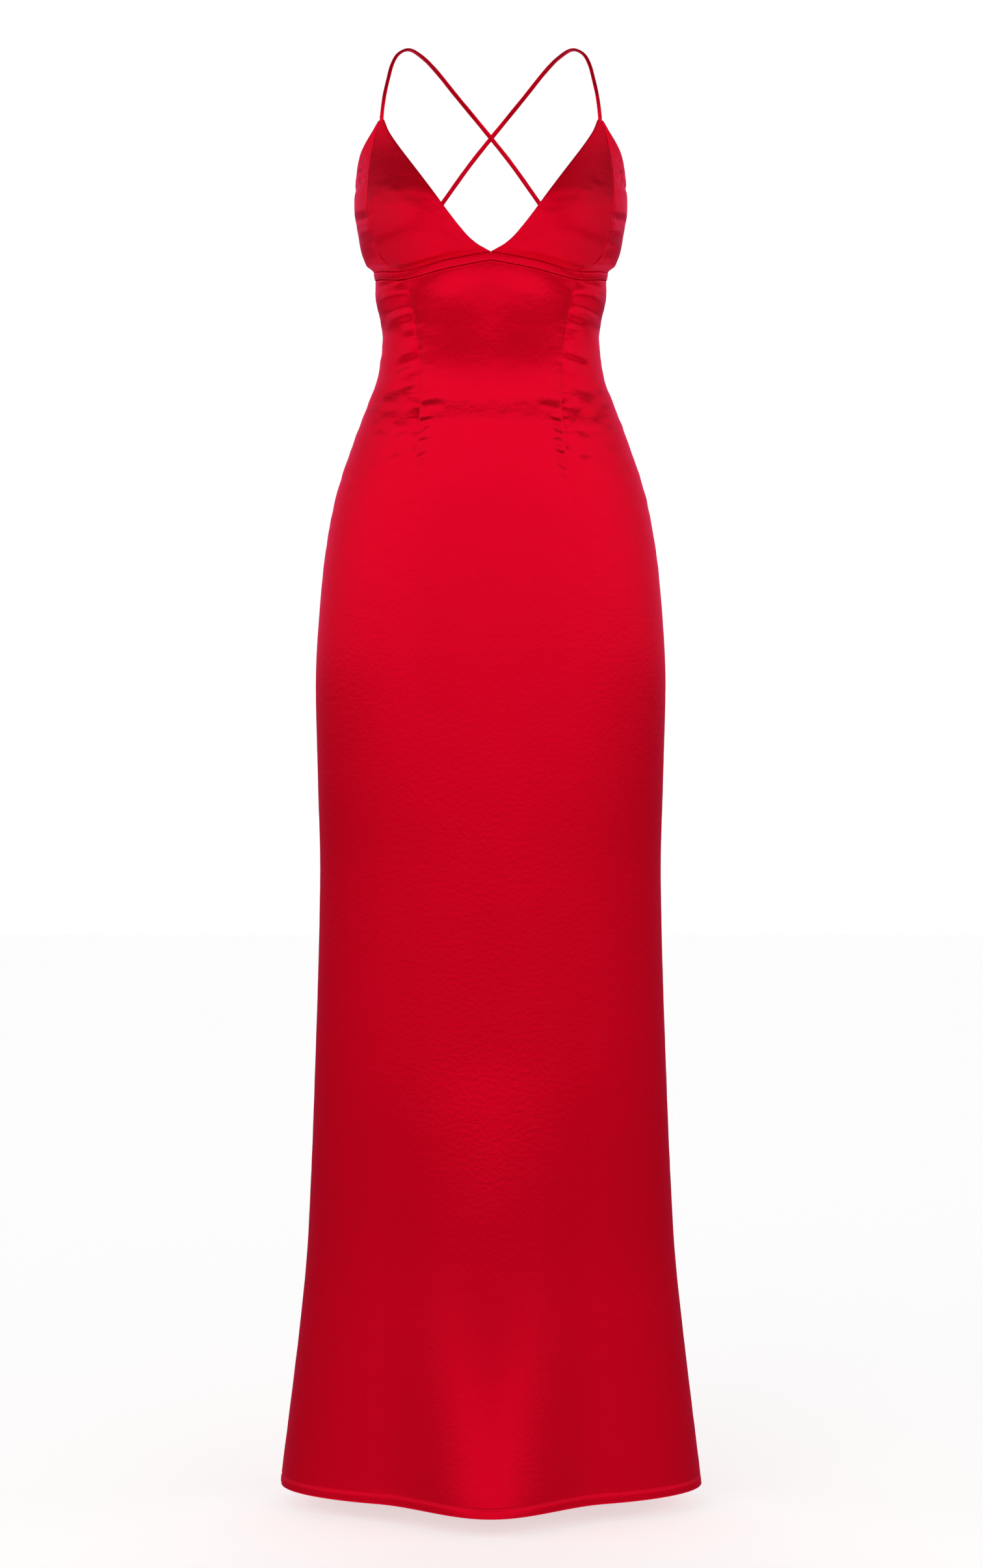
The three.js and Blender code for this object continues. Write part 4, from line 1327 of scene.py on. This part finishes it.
strapLines = [makeStrap(1, "strap_left"), makeStrap(-1, "strap_right")]
print("straps ready")

zipper = {
    "top": -253,
    "bottom": -534,
    "in": 2.0,  # how far it lies inside the cloth's face
    "tapeFrom": 0.8,  # from the centre seam
    "tapeTo": 11,
    "tapeWall": 0.5,
    # its teeth touch one another, from under the pull to a little above the tapes' end
    "tooth": {"from": -271, "short": 12, "pitch": 1.5, "wide": 3.2, "thick": 2.2, "lean": 0.12},
}


# A tape lies inside its back panel, from beside the coil outwards, with a woven rib at each edge.
def makeTape(side, name):
    z = np.linspace(zipper["top"], zipper["bottom"], 190)[:, None]
    near, far = zipper["tapeFrom"], zipper["tapeTo"]
    off = np.linspace(far, near, 14)[None, :]
    angle = 180 - off / perDegree(180.0, z)
    z = z + 0 * off
    ribs = 0.12 * ridge(off - near, 0.8) + 0.1 * ridge(off - far, 0.8)
    lift = ribs - zipper["in"] + 0.05 * np.sin(z / 2.1)
    wall = zipper["tapeWall"] + 0 * z
    sewPiece(name, angle, z, lift, wall, side, slot="zip_tape")


makeTape(1, "zip_tape_left")
makeTape(-1, "zip_tape_right")


# Short spindles at given centres, each with its own ways along, across and out. One has four
# rings of four corners, swells in the middle and bows outwards, so its two ends sink in.
def spindles(centres, alongWay, acrossWay, outWay, length, thick, bow):
    t = np.array([-1, -0.45, 0.45, 1])[None, :, None]
    turn = (np.arange(4) * math.pi / 2 + math.pi / 4)[None, None, :]
    radius = thick / 2 * np.array([0.45, 1, 1, 0.45])[None, :, None]
    along = (t * length / 2 + 0 * turn)[..., None]
    across = (np.cos(turn) * radius)[..., None]
    out = (np.sin(turn) * radius + bow * (1 - t * t) - thick * 0.15)[..., None]
    shape = (slice(None), None, None)
    points = centres[shape] + alongWay[shape] * along + acrossWay[shape] * across + outWay[shape] * out
    ring = np.arange(4)
    following = np.roll(ring, -1)
    sides = np.stack([ring, following, following + 4, ring + 4], 1)
    quads = np.concatenate([sides, sides + 4, sides + 8, [[3, 2, 1, 0]], [[12, 13, 14, 15]]])
    allQuads = (quads[None] + 16 * np.arange(len(centres))[:, None, None]).reshape(-1, 4)
    return points.reshape(-1, 3), allQuads


# Joins several runs of spindles into one piece.
def joinRuns(name, runs, material):
    counts = np.cumsum([0] + [len(points) for points, _ in runs])
    points = np.concatenate([points for points, _ in runs])
    quads = np.concatenate([quads + start for (_, quads), start in zip(runs, counts)])
    piece = makeObject(name, points, quads, points[:, [0, 2]], material)
    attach(piece, "dress")
    return piece


stitch = {
    "pitch": 2.5,
    "hemPitch": 3,
    "length": 1.7,
    "thick": 0.42,
    "bow": 0.12,
    "fromSeam": 3,  # columns from a dart's or a cup's seam
    "cupRows": slice(30, -8),
    "hemColumns": slice(8, -8),
    "frontDart": (8, -380),  # first row, and the height that it ends at
    "backDart": (-285, -420),
    # five short stitches side by side across each end of a strap
    "tack": {"count": 5, "end": 5, "step": 0.55, "length": 3.0, "thick": 0.4, "bow": 0.1},
}


# Stitches along a line of cloth, at an even pitch; normals point out of the cloth.
def stitchRun(line, normals, pitch):
    reached = gridLength(line[:, None], 0)[:, 0]
    at = np.arange(pitch, reached[-1] - pitch / 2, pitch)
    centres = np.stack([np.interp(at, reached, line[:, i]) for i in range(3)], 1)
    out = unit(np.stack([np.interp(at, reached, normals[:, i]) for i in range(3)], 1))
    ways = np.gradient(line, reached, axis=0)
    along = unit(np.stack([np.interp(at, reached, ways[:, i]) for i in range(3)], 1))
    across = np.cross(out, along)
    return spindles(centres, along, across, out, stitch["length"], stitch["thick"], stitch["bow"])


# The row of a grid nearest to a height.
def rowAt(grid, z):
    return int(np.argmin(np.abs(grid[..., 2].mean(1) - z)))


# Stitches along one row or one column of a grid, or along a stretch of it.
def runAlong(grid, rows=slice(None), columns=slice(None), pitch=stitch["pitch"]):
    return stitchRun(grid[rows, columns], gridNormals(grid)[rows, columns], pitch)


bandRuns = [runAlong(grid, rows=band["stitchRow"]) for grid in bandGrids]
joinRuns("stitches_band", bandRuns, threadRed)

hemRuns = []
for grid in (frontGrid, *backGrids):
    row = rowAt(grid, form["hem"] + cloth["hemDepth"])
    hemRuns.append(runAlong(grid, row, stitch["hemColumns"], stitch["hemPitch"]))
joinRuns("stitches_hem", hemRuns, threadRed)

frontRuns = []
first, end = stitch["frontDart"]
for way in (-1, 1):
    beside = lastOf(frontPanel["centreColumns"]) - stitch["fromSeam"]
    column = frontGrid.shape[1] // 2 + way * beside
    frontRuns.append(runAlong(frontGrid, slice(first, rowAt(frontGrid, end)), column))
joinRuns("stitches_front", frontRuns, threadRed)

cupRuns = []
for side, grid in outerCupGrids:
    column = 1 + stitch["fromSeam"] if side > 0 else -2 - stitch["fromSeam"]
    cupRuns.append(runAlong(grid, stitch["cupRows"], column))
joinRuns("stitches_cups", cupRuns, threadRed)

backRuns = []
top, end = stitch["backDart"]
for side, grid in zip((1, -1), backGrids):
    beside = len(cloth["allowance"]) + lastOf(backPanel["outerColumns"]) - stitch["fromSeam"]
    column = beside if side > 0 else grid.shape[1] - 1 - beside
    backRuns.append(runAlong(grid, slice(rowAt(grid, top), rowAt(grid, end)), column))
joinRuns("stitches_back", backRuns, threadRed)


# A bar tack is a row of short stitches across each end of a strap, on the strap's outer face.
def barTacks():
    runs, tack = [], stitch["tack"]
    same = np.ones((tack["count"], 1))
    step = tack["step"] * (np.arange(tack["count"]) - tack["count"] // 2)[:, None]
    for line, out in strapLines:
        for end in (tack["end"], -1 - tack["end"]):
            along = unit(line[end + 1] - line[end])
            ways = [way * same for way in (np.cross(out[end], along), along, out[end])]
            centres = line[end] + out[end] * (strap["thick"] / 2) + along * step
            runs.append(spindles(centres, *ways, tack["length"], tack["thick"], tack["bow"]))
    return runs


joinRuns("stitches_straps", barTacks(), threadRed)


# The coil: one tooth across the seam for each pitch, leaning a little up and down by turns.
def makeCoil():
    tooth = zipper["tooth"]
    z = np.arange(zipper["bottom"] + tooth["short"], tooth["from"], tooth["pitch"])
    angle = np.full(z.shape, 180.0)
    out = formNormal(angle, z)
    centres = formPoint(angle, z) - out * zipper["in"]
    lean = np.where(np.arange(len(z)) % 2, tooth["lean"], -tooth["lean"])
    across = unit(np.stack([np.ones(len(z)), 0 * z, lean], 1))
    up = np.cross(out, across)
    run = spindles(centres, across, up, out, tooth["wide"], tooth["thick"], 0.1)
    joinRuns("zip_coil", [run], tapeRed)


makeCoil()
for name in ("zip_slider", "zip_pull"):
    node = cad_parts[name]
    node.data.materials.clear()
    node.data.materials.append(enamelRed)
print("zip and stitches ready")
